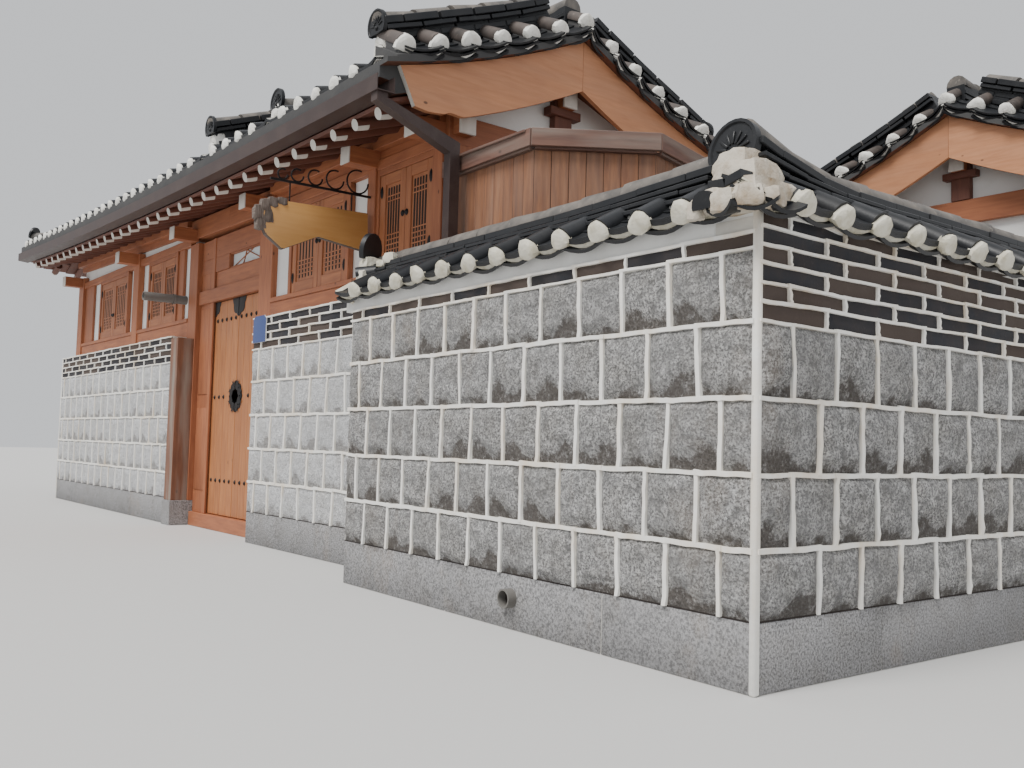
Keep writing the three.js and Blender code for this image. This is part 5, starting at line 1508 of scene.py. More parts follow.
@dataclass
class Roof:
    """The tiles, ridges, soffit and rafters of one wing."""

    wing: Wing
    seed: int
    run: TileRun = field(default_factory=TileRun)
    extra: Sequence[tuple[float, bool]] = ()
    margin: float = 0.48
    row_end: float = 1.775
    verge_pitch: float = 0.275
    rafter_pitch: float = 0.325
    rafter_first: float = 0.292
    rafter_start: float = 0.93
    rafter_end: float = 1.69
    batten: float = 1.735
    ridge_foot: float = 4.145

    def at(self, s: float, u: float, rise: float = 0.0) -> Vector:
        """Gives a place on the bed of the tiles."""
        return self.wing.matrix @ Vector((s, u, self.wing.bed(s, u) + rise))

    def build(self, stock: Stock, look: Palette) -> None:
        """Builds the wing's roof pieces."""
        name = self.wing.name
        coat(f"roof_{name}", look.roof)
        tiles = Gathering(f"tiles_{name}", self.seed)
        luck = random.Random(self.seed)
        for side in (1, -1):
            self._slope(tiles, stock, side, luck)
        for gable in self.wing.gables():
            self._verge(tiles, stock, gable, luck)
        self._valleys(tiles, stock)
        tiles.piece([look.tile, look.lime, look.dusty_tile], "roof_tile")
        self._ridges(stock, look, luck)
        self._rafters(stock, look)

    def _rows(self, side: int) -> list[tuple[float, bool]]:
        """Gives where the rows of a slope lie along the wing, and which of them are round ones.

        Args:
            side: 1 for the outer slope, -1 for the one to the courtyard.

        Returns:
            Place and kind of each row.
        """
        wing = self.wing
        reach = side * EAVE_REACH
        first = -reach if wing.hip_start else self.margin
        last = wing.length + reach if wing.hip_end else wing.length - self.margin
        count = round((last - first) / self.run.pitch)
        step = (last - first) / count
        before = math.floor(first / step) if wing.hip_start and side < 0 else 0
        after = math.floor((wing.length - last) / step) if wing.hip_end and side < 0 else 0
        low = 0 if wing.hip_start else -1
        high = 2 * (before + count + after) + (0 if wing.hip_end else 1)
        return [(first + (i / 2 - before) * step, i % 2 == 0) for i in range(low, high + 1)]

    def _reach(self, s: float, side: int) -> Span:
        """Gives from where to where a row runs, short of hips and valleys."""
        wing = self.wing
        if side > 0:
            before = -s + 0.06 if wing.hip_start else 0
            beyond = s - wing.length + 0.06 if wing.hip_end else 0
            return max(0.10, before, beyond), self.row_end
        ends = [self.row_end]
        if wing.hip_start:
            ends.append(s - 0.03)
        if wing.hip_end:
            ends.append(wing.length - s - 0.03)
        return 0.10, min(ends)

    def _slope(self, to: Gathering, stock: Stock, side: int, luck: random.Random) -> None:
        """Lays the rows of one slope."""
        for s, is_round in self._rows(side):
            top, end = self._reach(s, side)
            length = end - top
            beside = any(abs(s - place) < 0.148 for place, _ in self.extra)
            if length < 0.16 or (is_round and side > 0 and beside):
                continue
            tile = self.run.round_length if is_round else self.run.hollow_length
            pieces = max(1, round(length / tile))
            marks = [top + length * k / pieces for k in range(pieces + 1)]
            rise = self.run.rise if is_round else 0.004
            places = [self.at(s, side * u, rise) for u in marks]
            up = skyward((places[-1] - places[0]).cross(self.at(s + 0.1, side) - self.at(s, side)))
            out = (places[-1] - places[-2]).normalized()
            if is_round:
                self.run.round_row(to, stock, places, up)
            else:
                self.run.hollow_row(to, stock, places, up)
            if end < self.row_end:
                continue
            if is_round:
                self.run.end(to, stock, places[-1] - out * 0.014, out, up, luck)
            else:
                self.run.lips(to, stock, places[-1] + out * 0.010, out, up)

    def _valleys(self, to: Gathering, stock: Stock) -> None:
        """Lays the hollow tiles down the valley at the wing's far end."""
        wing = self.wing
        if not wing.hip_end:
            return
        places = [self.at(wing.length - u, -u, 0.012) for u in np.linspace(0.10, 1.79, 11)]
        self.run.hollow_row(to, stock, places, UP)

    def _verge(self, to: Gathering, stock: Stock, gable: Callable[[float], float],
               luck: random.Random) -> None:
        """Lays the short rows along a gable, over the clay that rises inwards to the ridge."""
        out = self.at(gable(-0.1), 1.0) - self.at(gable(0.0), 1.0)
        out.normalize()

        def clay(s: float, u: float, rise: float) -> Vector:
            return self.at(gable(s), u, 0.015 + 0.5 * s + rise)

        for i in range(-12, 13):
            u, is_round = i * self.verge_pitch / 2, i % 2 == 0
            rise = (0.047 + self.run.rise if is_round else 0.006) + luck.uniform(-0.004, 0.004)
            tip = (0.035 if is_round else 0.0) + luck.uniform(-0.008, 0.008)
            outer, inner = clay(tip, u, rise), clay(0.32, u, rise)
            near, far = clay(tip, u - 0.05, 0), clay(tip, u + 0.05, 0)
            up = skyward((far - near).cross(inner - outer))
            towards = (outer - inner).normalized()
            if is_round:
                self.run.round_row(to, stock, [inner, outer], up, 2)
                self.run.end(to, stock, outer - towards * 0.008, towards, up, luck, 1.12)
            else:
                self.run.hollow_row(to, stock, [inner, (inner + outer) / 2, outer], up)
                self.run.lips(to, stock, outer + out * 0.014, towards, up, 0.022)

    def _ridges(self, stock: Stock, look: Palette, luck: random.Random) -> None:
        """Builds the main ridge, those beside the gables and the one down the hip."""
        wing = self.wing
        made = Gathering(f"stacked_ridges_{wing.name}", self.seed + 3)
        first = 0.12 if wing.hip_start else 0.20
        last = wing.length + 0.10 if wing.hip_end else wing.length - 0.20
        main = StackedRidge(0.12, 0.45, StackedRidge.even(6, 0.337, 0.24), 1.5)
        main.build(made, stock, lambda d: wing.matrix @ Vector((first + d, 0, self.ridge_foot)),
                   last - first, luck)
        for gable in wing.gables():
            for side in (1, -1):
                self._down(made, stock, gable(0.30), side, True, luck)
        for s, tall in self.extra:
            self._down(made, stock, s, 1, tall, luck)
        if wing.hip_end:
            self._hip(made, stock, luck)
        made.piece([look.tile, look.lime, look.tile, look.cap], "roof_tile",
                   replaces=(f"ridges_{wing.name}",))

    def _down(self, to: Gathering, stock: Stock, s: float, side: int, tall: bool,
              luck: random.Random) -> None:
        """Builds a ridge that runs down a slope, beside a gable or on its own."""
        start, end = 0.10, 1.60 if tall else 1.65
        if tall:
            tiers = [*StackedRidge.even(4, 0.275, 0.185), (0.283, 0.317, 0.212), (0.323, 0.374, 0.232)]
            ridge, high = StackedRidge(0.088, 0.447, tiers, 1.3, 0.29), 0.34
        else:
            ridge, high = self._low_ridge(0.26), 0.19

        def path(d: float) -> Vector:
            droop = 0.045 * min(1.0, max(0.0, (start + d - 1.05) / 0.6)) if tall else 0.004
            return self.at(s, side * (start + d), -droop)

        ridge.build(to, stock, path, end - start, luck)
        foot, before = path(end - start), path(end - start - 0.1)
        out = (foot - before).normalized()
        across = self.at(s + 0.1, side * end) - self.at(s - 0.1, side * end)
        rise = skyward(out.cross(across))
        self._end(to, stock, foot + rise * high, (out + rise * 0.30).normalized(), 0.225)
        for back, up, size in ((0.02, 0.62, (0.13, 0.16, 0.12)), (-0.02, 0.45, (0.12, 0.13, 0.10))):
            spot = rise * high * up
            lump = heading(foot - out * (back + 0.03) + spot, foot - out * back + spot)
            to.add(stock.lumps[side], lump @ grown(*size), finish=1)
        if tall:
            ends = [foot + rise * 0.155 - out * 0.26, foot + rise * 0.145 + out * 0.03]
            to.add(stock.round_tile, heading(ends[0], ends[1], rise, 0.29))

    @staticmethod
    def _low_ridge(tile: float) -> StackedRidge:
        """Gives the ridge of three tiers, for the hip and for the street slope."""
        return StackedRidge(0.088, 0.235, StackedRidge.even(3, 0.137, 0.176), 1.3, tile)

    def _hip(self, to: Gathering, stock: Stock, luck: random.Random) -> None:
        """Builds the ridge that runs down to the wing's outer corner."""
        wing = self.wing
        length = 1.66 * math.sqrt(2)

        def path(d: float) -> Vector:
            u = d / math.sqrt(2)
            return self.at(wing.length + u, u, -0.004)

        self._low_ridge(0.28).build(to, stock, path, length, luck)
        foot = path(length) + UP * 0.19
        out = (path(length) - path(length - 0.1)).normalized()
        self._end(to, stock, foot, (out + UP * 0.35).normalized(), 0.24)

    def _end(self, to: Gathering, stock: Stock, at: Vector, out: Vector, width: float) -> None:
        """Stands an end tile at a ridge's foot."""
        place = heading(at - out * 0.01, at + out * 0.01)
        to.add(stock.end_tile, place @ grown(width * 0.8, width, width), finish=0)

    def _under(self, s: float, u: float, drop: float) -> Vector:
        """Gives a place under the boards that the rafters carry."""
        return self.wing.matrix @ Vector((s, u, self.wing.deck(s, u) - drop))

    def _rafters(self, stock: Stock, look: Palette) -> None:
        """Builds the round rafters with their soffit boards."""
        wing = self.wing
        made = Gathering(f"round_rafters_{wing.name}", self.seed + 5)
        for side in (1, -1):
            first, last = wing.span(side * self.rafter_end)
            first += 0.05 if wing.hip_start else 0.12
            last -= 0.05 if wing.hip_end else 0.12
            k0 = math.ceil((first + 0.05 - self.rafter_first) / self.rafter_pitch)
            k1 = math.floor((last - 0.05 - self.rafter_first) / self.rafter_pitch)
            for k in range(k0, k1 + 1):
                s = self.rafter_first + k * self.rafter_pitch
                start = self.rafter_start
                if side > 0:
                    start = max(start, -s + 0.1, s - wing.length + 0.1)
                if start > 1.5:
                    continue
                a, b = (self._under(s, side * reach, 0.085) for reach in (start, self.rafter_end))
                made.add(stock.log, heading(a, b, UP, (b - a).length))
                half = self.rafter_pitch / 2
                for edge in (-1, 1):
                    near, far = s + edge * 0.002, s + edge * half
                    if side > 0 and (min(near, far) < first - 0.1 or max(near, far) > last + 0.1):
                        continue
                    mid = (near + far) / 2
                    a, b = (self._under(mid, side * reach, 0.034) for reach in (start, 1.70))
                    made.add(stock.bar, heading(a, b), ((b - a).length, half + 0.004, 0.03), grain=1)
            self._fascia(made, stock, side)
        made.piece([look.dark_timber, look.end], "timber", replaces=(f"rafters_{wing.name}",))

    def _fascia(self, to: Gathering, stock: Stock, side: int) -> None:
        """Builds the batten that carries the lowest tiles."""
        wing = self.wing
        first, last = wing.span(side * 1.73)
        first += 0.0 if wing.hip_start else 0.12
        last -= 0.0 if wing.hip_end else 0.12
        count = max(1, round((last - first) / 0.6))
        step = (last - first) / count
        for i in range(count):
            a, b = first + i * step, first + (i + 1) * step
            ends = [self.at(s, side * self.batten, -0.045) for s in (a, b)]
            to.add(stock.bar, heading(*ends), (step + 0.004, 0.06, 0.085))


# Timberwork


class GateSide(Enum):
    """The sides of the gate, as seen from the street."""

    RIGHT = "right"
    LEFT = "left"


class Joinery(Gathering):
    """Bars placed in a wing's own directions."""

    def __init__(self, name: str, wing: Wing, stock: Stock, seed: int) -> None:
        super().__init__(name, seed)
        self.wing = wing
        self.stock = stock

    def bar(self, along: Span, out: Span, height: Span, finish: int = 0,
            pattern: Pattern | None = None, grain: int | None = None) -> None:
        """Adds a bar between limits along the wing, outwards and upwards."""
        limits = [along, out, height]
        middle = Vector([(a + b) / 2 for a, b in limits])
        size = [abs(b - a) for a, b in limits]
        place = self.wing.matrix @ Matrix.Translation(middle)
        self.add(pattern or self.stock.bar, place, size, finish, grain=grain)

    def raised(self, span: Span, out: Span, low: float, high: float) -> None:
        """Adds a level member that follows the lift of the eave, in short lengths."""
        count = max(1, round((span[1] - span[0]) / 0.9))
        step = (span[1] - span[0]) / count
        u, z = (out[0] + out[1]) / 2, (low + high) / 2
        for i in range(count):
            ends = [self.wing.matrix @ Vector((s, u, z + self.wing.lift(s, TIMBER_FACE)))
                    for s in (span[0] + i * step, span[0] + (i + 1) * step)]
            self.add(self.stock.bar, heading(*ends), (step + 0.004, out[1] - out[0], high - low))

    def beam_end(self, post: Span) -> None:
        """Adds the end of the beam over a post, and the painted face in front of it."""
        middle, face = (post[0] + post[1]) / 2, TIMBER_FACE
        self.bar((middle - 0.07, middle + 0.07), (face - 0.02, face + 0.26), (3.19, 3.33), grain=1)
        self.bar((middle - 0.071, middle + 0.071), (face + 0.26, face + 0.272), (3.188, 3.332), 1)

    def copy(self, pattern: Pattern, s: float, u: float, z: float, finish: int = 0,
             scale: Sequence[float] = (1, 1, 1), turn: float = 0.0) -> None:
        """Adds a copy of a pattern, turned about the outward direction."""
        place = self.wing.matrix @ Matrix.Translation((s, u, z)) @ Matrix.Rotation(turn, 4, "Y")
        self.add(pattern, place @ grown(*scale), finish=finish)


@dataclass
class StreetFront:
    """The timber frame, the shutters and the masonry of the street side."""

    windows: tuple[Span, ...] = ((0.510, 1.280), (1.818, 2.860), (5.984, 6.928), (7.868, 9.060))

    def build(self, stock: Stock, look: Palette) -> None:
        """Builds the street side."""
        corner = FRONT.length + BASE_FACE
        right = face_of_wing(FRONT, 0.355, GATE_SPAN[0], BASE_FACE)
        left = face_of_wing(FRONT, GATE_SPAN[1], corner, BASE_FACE)
        Masonry("street_base").build([
            StoneFace(right, STONE_TOPS, BRICK_TOPS, True, (0.300, 0.150), seed=31, bulge=0.6),
            StoneFace(left, STONE_TOPS, BRICK_TOPS, True, seed=32, corner=0.03, from_end=True, bulge=0.6),
        ], stock, look, look.street_stone)
        self._frame(stock, look, GateSide.RIGHT, (0.35, GATE_SPAN[0]), ((0.35, 0.47), (1.31, 1.43)),
                    self.windows[:2], ((0.35, 0.51), (1.28, 1.505)))
        self._frame(stock, look, GateSide.LEFT, (GATE_SPAN[1], FRONT.length + TIMBER_FACE),
                    ((7.306, 7.52), (9.94, 10.18)), self.windows[2:],
                    ((5.76, 5.984), (7.52, 7.56), (9.514, 9.94)))
        for i, window in enumerate(self.windows):
            Shutters(i + 1, window).build(stock, look)

    def _frame(self, stock: Stock, look: Palette, side: GateSide, span: Span, posts: Sequence[Span],
               windows: Sequence[Span], boards: Sequence[Span]) -> None:
        """Builds posts, sill, head and purlin of one stretch, and the ends of its beams."""
        made = Joinery(f"frame_{side.value}", FRONT, stock, 40 + len(posts))
        back, face = WALL_FACE + 0.001, TIMBER_FACE
        made.bar(span, (back, face), (BASE_TOP + 0.002, SILL_TOP - 0.045))
        made.bar(span, (back, face + 0.012), (SILL_TOP - 0.045, SILL_TOP))
        made.bar(span, (back, face), (LINTEL, LINTEL + 0.085))
        made.raised(span, (back, face - 0.022), LINTEL + 0.085, PLATE_TOP - 0.005)
        made.raised(span, (back, face + 0.05), LINTEL + 0.150, PLATE_TOP + 0.02)
        for start, end in posts:
            made.bar((start, end), (back, face + 0.018), (BASE_TOP + 0.002, PLATE_TOP - 0.06))
            made.beam_end((start, end))
        for start, end in windows:
            for a, b in ((start - 0.055, start), (end, end + 0.055)):
                made.bar((a, b), (back, face - 0.004), (SILL_TOP, LINTEL))
            made.bar((start - 0.055, end + 0.055), (back, face - 0.006), (LINTEL - 0.05, LINTEL))
        for start, end in boards:
            made.bar((start, end), (back, face - 0.024), (SILL_TOP, LINTEL))
        made.piece([look.timber, look.end], "timber", replaces=(f"street_frame_{side.value}",))


@dataclass
class Shutters:
    """A pair of shutters: framed leaves with slots, hinges and pulls."""

    number: int
    window: Span
    low: float = SILL_TOP + 0.004
    high: float = LINTEL - 0.052
    stile: float = 0.075
    slots: int = 5
    slot: float = 0.011

    def build(self, stock: Stock, look: Palette) -> None:
        """Builds both leaves as one piece."""
        made = Joinery(f"shutters_{self.number}", FRONT, stock, 60 + self.number)
        middle = sum(self.window) / 2
        for start, end, hinge in ((self.window[0] + 0.004, middle - 0.003, self.window[0] + 0.03),
                                  (middle + 0.003, self.window[1] - 0.004, self.window[1] - 0.03)):
            self._leaf(made, start, end)
            for z in (self.low + 0.14, self.high - 0.14):
                self._hinge(made, hinge, z)
        pull_z = self.high - 0.36 if self.number <= 2 else self.low + 0.30
        for s in (middle - 0.028, middle + 0.028):
            made.copy(stock.stud, s, TIMBER_FACE - 0.014, pull_z, 2, (1.5, 1.6, 1.7))
        made.piece([look.leaf, look.painted_shadow, look.iron], "timber",
                   replaces=(f"street_shutters_{self.number}",))

    def _leaf(self, made: Joinery, start: float, end: float) -> None:
        """Builds one leaf."""
        face = TIMBER_FACE - 0.016
        back = WALL_FACE - 0.02
        made.bar((start, start + self.stile), (back, face), (self.low, self.high))
        made.bar((end - self.stile, end), (back, face), (self.low, self.high))
        made.bar((start + self.stile, end - self.stile), (back, face), (self.high - 0.085, self.high))
        made.bar((start + self.stile, end - self.stile), (back, face), (self.low, self.low + 0.10))
        inner = (start + self.stile - 0.002, end - self.stile + 0.002)
        low, high = self.low + 0.098, self.high - 0.083
        made.bar(inner, (back, face - 0.014), (low, high), grain=2)
        width = inner[1] - inner[0]
        pitch = width / (self.slots + 1)
        depth, tall = (face - 0.016, face - 0.011), (low + 0.03, high - 0.03)
        for i in range(self.slots):
            s = inner[0] + (i + 1) * pitch
            # The slots are thin near-black bars: painted shadow in their openings.
            made.bar((s - self.slot, s + self.slot), depth, tall, 1)
        across, depth = (inner[0] + 0.01, inner[1] - 0.01), (face - 0.014, face - 0.007)
        for z in (low + 0.07, low + 0.11, low + 0.15, low + 0.19, high - 0.10, high - 0.14):
            made.bar(across, depth, (z - 0.005, z + 0.005))

    @staticmethod
    def _hinge(made: Joinery, s: float, z: float) -> None:
        """Adds a leaf-shaped hinge plate."""
        made.copy(made.stock.stud, s, TIMBER_FACE - 0.015, z, 2, (1.25, 1.2, 3.4))
        made.copy(made.stock.stud, s, TIMBER_FACE - 0.011, z, 2, (0.5, 1.0, 0.5))


@dataclass
class Gate:
    """The street gate: posts, head, transom, leaves and their ironwork."""

    right_post: Span = (GATE_SPAN[0], 3.56)
    left_post: Span = (5.248, GATE_SPAN[1])
    opening: Span = (3.56, 4.85)
    stone_foot: float = 0.27
    threshold: float = 0.15
    top: float = 2.455
    light: Span = (3.70, 4.48)
    light_rise: Span = (2.79, 2.95)
    face: float = 1.010
    thick: float = 0.050
    planks: int = 4
    nails: int = 5
    rows: tuple[float, float, float] = (0.52, 1.41, 2.24)

    def build(self, stock: Stock, look: Palette) -> None:
        """Builds the frame and both leaves."""
        self._frame(stock, look)
        flower = self._flower()
        cap = self._cap()
        middle = sum(self.opening) / 2
        spans = {GateSide.RIGHT: (self.opening[0] + 0.008, middle - 0.0045),
                 GateSide.LEFT: (middle + 0.0045, self.opening[1] - 0.008)}
        for side, span in spans.items():
            made = Joinery(f"leaf_{side.value}", FRONT, stock, 80 + len(side.value))
            self._planks(made, span)
            self._iron(made, span, side, flower, cap)
            made.piece([look.gate, look.iron], "gate_wood", f"{side.value}_leaf",
                       (f"gate_leaf_{side.value}",))

    def _frame(self, stock: Stock, look: Palette) -> None:
        """Builds the posts, boards, head and transom."""
        made = Joinery("gate_timbers", FRONT, stock, 71)
        front, back = TIMBER_FACE, 0.85
        for start, end in (self.right_post, self.left_post):
            made.bar((start, end), (back, front), (self.stone_foot, LINTEL))
            made.bar((start, end), (back, front), (0.0, self.stone_foot), 3)
            made.beam_end((start, end))
        left, right = self.right_post[1], self.left_post[0]
        middle = sum(self.left_post) / 2
        made.bar((middle - 0.11, middle + 0.11), (front, BASE_FACE + 0.03), (self.stone_foot, 2.08), 4)
        made.bar((middle - 0.125, middle + 0.125), (front, BASE_FACE + 0.045), (0.0, self.stone_foot), 3)
        made.raised(GATE_SPAN, (back, front), LINTEL, PLATE_TOP - 0.004)
        made.bar((left, right), (back + 0.04, front - 0.02), (0.0, self.threshold))
        side, tall = self.opening[1], (self.threshold, LINTEL)
        made.bar((side, right), (back + 0.06, front - 0.06), tall)
        made.bar((side, side + 0.07), (back + 0.06, front - 0.045), tall)
        for panel in ((0.40, 1.30), (1.45, 2.40)):
            made.bar((side + 0.08, right - 0.03), (front - 0.062, front - 0.05), panel)
        low, high = self.light_rise
        made.bar((left, right), (back + 0.06, front - 0.03), (self.top, self.top + 0.15))
        made.bar((left, right), (back + 0.06, front - 0.07), (self.top + 0.15, low), grain=0)
        made.bar((left, right), (back + 0.06, front - 0.055), (high, LINTEL))
        for beside in ((left, self.light[0]), (self.light[1], right)):
            made.bar(beside, (back + 0.06, front - 0.055), self.light_rise)
        self._transom(made)
        made.piece([look.timber, look.end, look.paper, look.slab, look.weathered], "timber",
                   replaces=("gate_frame",))

    def _transom(self, made: Joinery) -> None:
        """Builds the pale light over the gate with its slanting bars."""
        made.bar(self.light, (0.965, 0.985), self.light_rise, 2)
        for rail in ((2.79, 2.802), (2.938, 2.95)):
            made.bar(self.light, (0.98, 1.02), rail)
        slants = (((3.72, 2.80), (4.12, 2.94)), ((3.95, 2.94), (4.46, 2.80)), ((4.12, 2.94), (4.20, 2.80)))
        for slant in slants:
            a, b = (FRONT.matrix @ Vector((s, 0.99, z)) for s, z in slant)
            made.add(made.stock.bar, heading(a, b), ((b - a).length, 0.012, 0.010))

    def _planks(self, made: Joinery, span: Span) -> None:
        """Builds a leaf's planks and battens."""
        low, high = self.threshold + 0.008, self.top - 0.008
        back = self.face - self.thick
        step = (span[1] - span[0]) / self.planks
        for i in range(self.planks):
            a = span[0] + i * step
            made.bar((a + 0.0008, a + step - 0.0008), (back, self.face), (low, high))
        for z in self.rows:
            made.bar((span[0] + 0.06, span[1] - 0.04), (back - 0.03, back + 0.001), (z - 0.045, z + 0.045))

    def _iron(self, made: Joinery, span: Span, side: GateSide, flower: Pattern, cap: Pattern) -> None:
        """Adds the nail rows, half of the flower plate, and the plates at the top."""
        inner, outer = (span[1], span[0]) if side is GateSide.RIGHT else span
        flip = -1.0 if side is GateSide.RIGHT else 1.0
        for z in self.rows:
            for i in range(self.nails):
                s = span[0] + 0.07 + i * (span[1] - span[0] - 0.14) / (self.nails - 1)
                if abs(z - self.rows[1]) < 0.01 and abs(s - inner) < 0.24:
                    continue
                made.copy(made.stock.stud, s, self.face, z, 1, (1.15, 1.5, 1.5))
        made.copy(flower, inner, self.face, self.rows[1], 1, turn=0.0 if flip > 0 else math.pi)
        made.copy(cap, inner, self.face, self.top - 0.008, 1, (flip, 1, 1))
        made.copy(cap, outer, self.face, self.top - 0.008, 1, (-0.8 * flip, 1, 0.8))

    @staticmethod
    def _flower() -> Pattern:
        """Models half of a round plate with petals, its straight side along Z and facing +Y."""
        hand = Hand("flower").disc(0.155, 64, turn=TO_Y)

        def petals(point: Vector) -> Vector:
            angle = math.atan2(point.z, point.x)
            grow = 1 + 0.08 * math.cos(8 * angle)
            return Vector((point.x * grow, point.y, point.z * grow))

        hand.reshape(petals).everything().extrude((0, 0.004, 0)).inset(0.012).move((0, 0.004, 0))
        hand.inset(0.04).move((0, 0.006, 0)).inset(0.02, -0.004)
        hand.shave((0.003, 0, 0), (-1, 0, 0))
        return Pattern(hand.outward())

    @staticmethod
    def _cap() -> Pattern:
        """Models a quarter of a scalloped plate below and beside the leaf's top edge, facing +Y."""
        hand = Hand("cap").disc(0.150, 48, turn=TO_Y)

        def lobes(point: Vector) -> Vector:
            grow = 1 + 0.14 * abs(math.cos(4 * math.atan2(point.z, point.x)))
            return Vector((point.x * grow, point.y, point.z * grow * 1.15))

        hand.reshape(lobes).everything().extrude((0, 0.004, 0)).inset(0.012).move((0, 0.003, 0))
        hand.shave((0.003, 0, 0), (-1, 0, 0)).shave((0, 0, -0.001), (0, 0, 1))
        return Pattern(hand.outward())


@dataclass
class Gable:
    """A gable end: timbers, purlin ends, bargeboards."""

    prefix: str
    wing: Wing
    seed: int

    def at(self, inward: float) -> float:
        """Gives the place along the wing at a distance inwards from the gable's edge."""
        return self.wing.gables()[0](inward)

    def build(self, stock: Stock, look: Palette) -> None:
        """Builds the gable's timbers and boards."""
        made = Joinery(f"{self.prefix}_timbers", self.wing, stock, self.seed)
        depth = sorted((self.at(0.29), self.at(0.349)))
        proud = sorted((self.at(0.28), self.at(0.349)))
        face = TIMBER_FACE
        made.bar(depth, (-face, face), (LINTEL, PLATE_TOP), grain=1)
        made.bar(depth, (-face, face), (BASE_TOP + 0.002, SILL_TOP), grain=1)
        made.bar(proud, (-face, -face + 0.24), (0.0, LINTEL))
        made.bar(proud, (face - 0.24, face), (BASE_TOP + 0.002, LINTEL))
        made.bar(proud, (-0.09, 0.09), (PLATE_TOP, 3.73), 3)
        made.bar(sorted((self.at(0.25), self.at(0.34))), (-0.16, 0.16), (3.60, 3.665), 3, grain=1)
        for u, z in ((-0.99, 3.30), (0.99, 3.30), (0.0, 3.73)):
            made.bar(sorted((self.at(0.215), self.at(0.349))), (u - 0.068, u + 0.068),
                     (z - 0.068, z + 0.068), grain=0)
            made.bar(sorted((self.at(0.192), self.at(0.215))), (u - 0.07, u + 0.07), (z - 0.07, z + 0.07), 1)
        made.piece([look.timber, look.end, look.board, look.dark_timber], "timber",
                   replaces=(f"{self.prefix}_frame",))
        self._boards(look)

    def _boards(self, look: Palette) -> None:
        """Builds the pair of bargeboards, each cut from one wide board with a scalloped foot."""
        made = Gathering(f"{self.prefix}_boards", self.seed + 1)
        board = self._board()
        place = self.wing.matrix @ Matrix.Translation((self.at(0.08), 0, 0))
        for turn in (Matrix.Identity(4), Matrix.Rotation(math.pi, 4, "Z")):
            made.add(board, place @ turn, grain=1)
        made.piece([look.board, look.end], "pale_boards", replaces=(f"{self.prefix}_bargeboards",))

    @staticmethod
    def _board() -> Pattern:
        """Models one bargeboard in the plane of Y and Z, from the apex at Y 0 outwards."""
        cuts = 36
        foot = ((0.0, 0.0, 3.76), (0.70, 1.130, 3.284), (0.80, 1.245, 3.292), (0.84, 1.300, 3.268),
                (0.92, 1.430, 3.256), (1.0, 1.538, 3.269))
        hand = Hand("bargeboard").cube((-0.02, 0.001, -0.5), (0.02, 1.0, 0.5))
        for i in range(1, cuts):
            hand.cut((0, i / cuts, 0), (0, 1, 0))

        def curved(point: Vector) -> Vector:
            if point.z > 0:
                u = 1.664 * point.y
                return Vector((point.x, u, curved_slope(4.16, u)))
            marks, us, zs = zip(*foot)
            u = float(np.interp(point.y, marks, us))
            low = curved_slope(3.76, u) if point.y < 0.70 else float(np.interp(point.y, marks, zs))
            return Vector((point.x, u, low))

        hand.reshape(curved).everything().outward()
        return Pattern(hand, lambda middle, normal: 1 if normal.y > 0.6 else 0)


@dataclass
class PlankBay:
    """The bay of upright planks under the near gable, with its rail."""

    plank: float = 0.112
    low: float = BASE_TOP
    high: float = 2.90
    rail_top: float = 3.02
    corners: tuple[tuple[float, float], ...] = (
        (-3.2897, 0.620), (-2.310, 0.600), (-1.850, 1.250), (-2.030, 1.940), (-3.2897, 2.500))

    def build(self, stock: Stock, look: Palette) -> None:
        """Builds the planks and the rail."""
        planks = Gathering("bay_planks", 91)
        rail = Gathering("bay_rail_boards", 92)
        luck = random.Random(93)
        points = [HOUSE @ Vector((*p, 0)) for p in self.corners]
        for a, b in zip(points, points[1:]):
            along = (b - a).normalized()
            out = along.cross(UP)
            length = (b - a).length
            count = round(length / self.plank)
            step = length / count
            for i in range(count):
                at = a + along * (i + 0.5) * step - out * (0.011 - luck.uniform(0, 0.003))
                ends = (at + UP * self.low, at + UP * (self.high - 0.002))
                place = Matrix((along, out, UP)).transposed().to_4x4()
                spot = Matrix.Translation((ends[0] + ends[1]) / 2) @ place
                planks.add(stock.bar, spot, (step - 0.0025, 0.028, self.high - self.low - 0.004), grain=2)
            ends = (a + out * 0.045, b + out * 0.045)
            z = UP * (self.high + self.rail_top) / 2
            rail.add(stock.bar, heading(ends[0] - along * 0.02 + z, ends[1] + along * 0.02 + z),
                     (length + 0.05, 0.032, self.rail_top - self.high - 0.002))
            low = UP * (self.high - 0.004)
            rail.add(stock.bar, heading(a - out * 0.01 + low, b - out * 0.01 + low), (length, 0.10, 0.02))
        for i in range(7):
            y = 0.66 + i * 0.27
            width = 1.02 if 0.7 < y < 2.0 else 0.9
            centre = HOUSE @ Vector((-3.28 + width / 2 + 0.05, y, self.rail_top - 0.014))
            place = Matrix.Translation(centre) @ Matrix.Rotation(HOUSE_TURN, 4, "Z")
            rail.add(stock.bar, place, (width, 0.266, 0.02))
        planks.piece([look.plank], "pale_boards")
        rail.piece([look.rail], "pale_boards", replaces=("plank_bay_rail",))


# Things fixed to the front


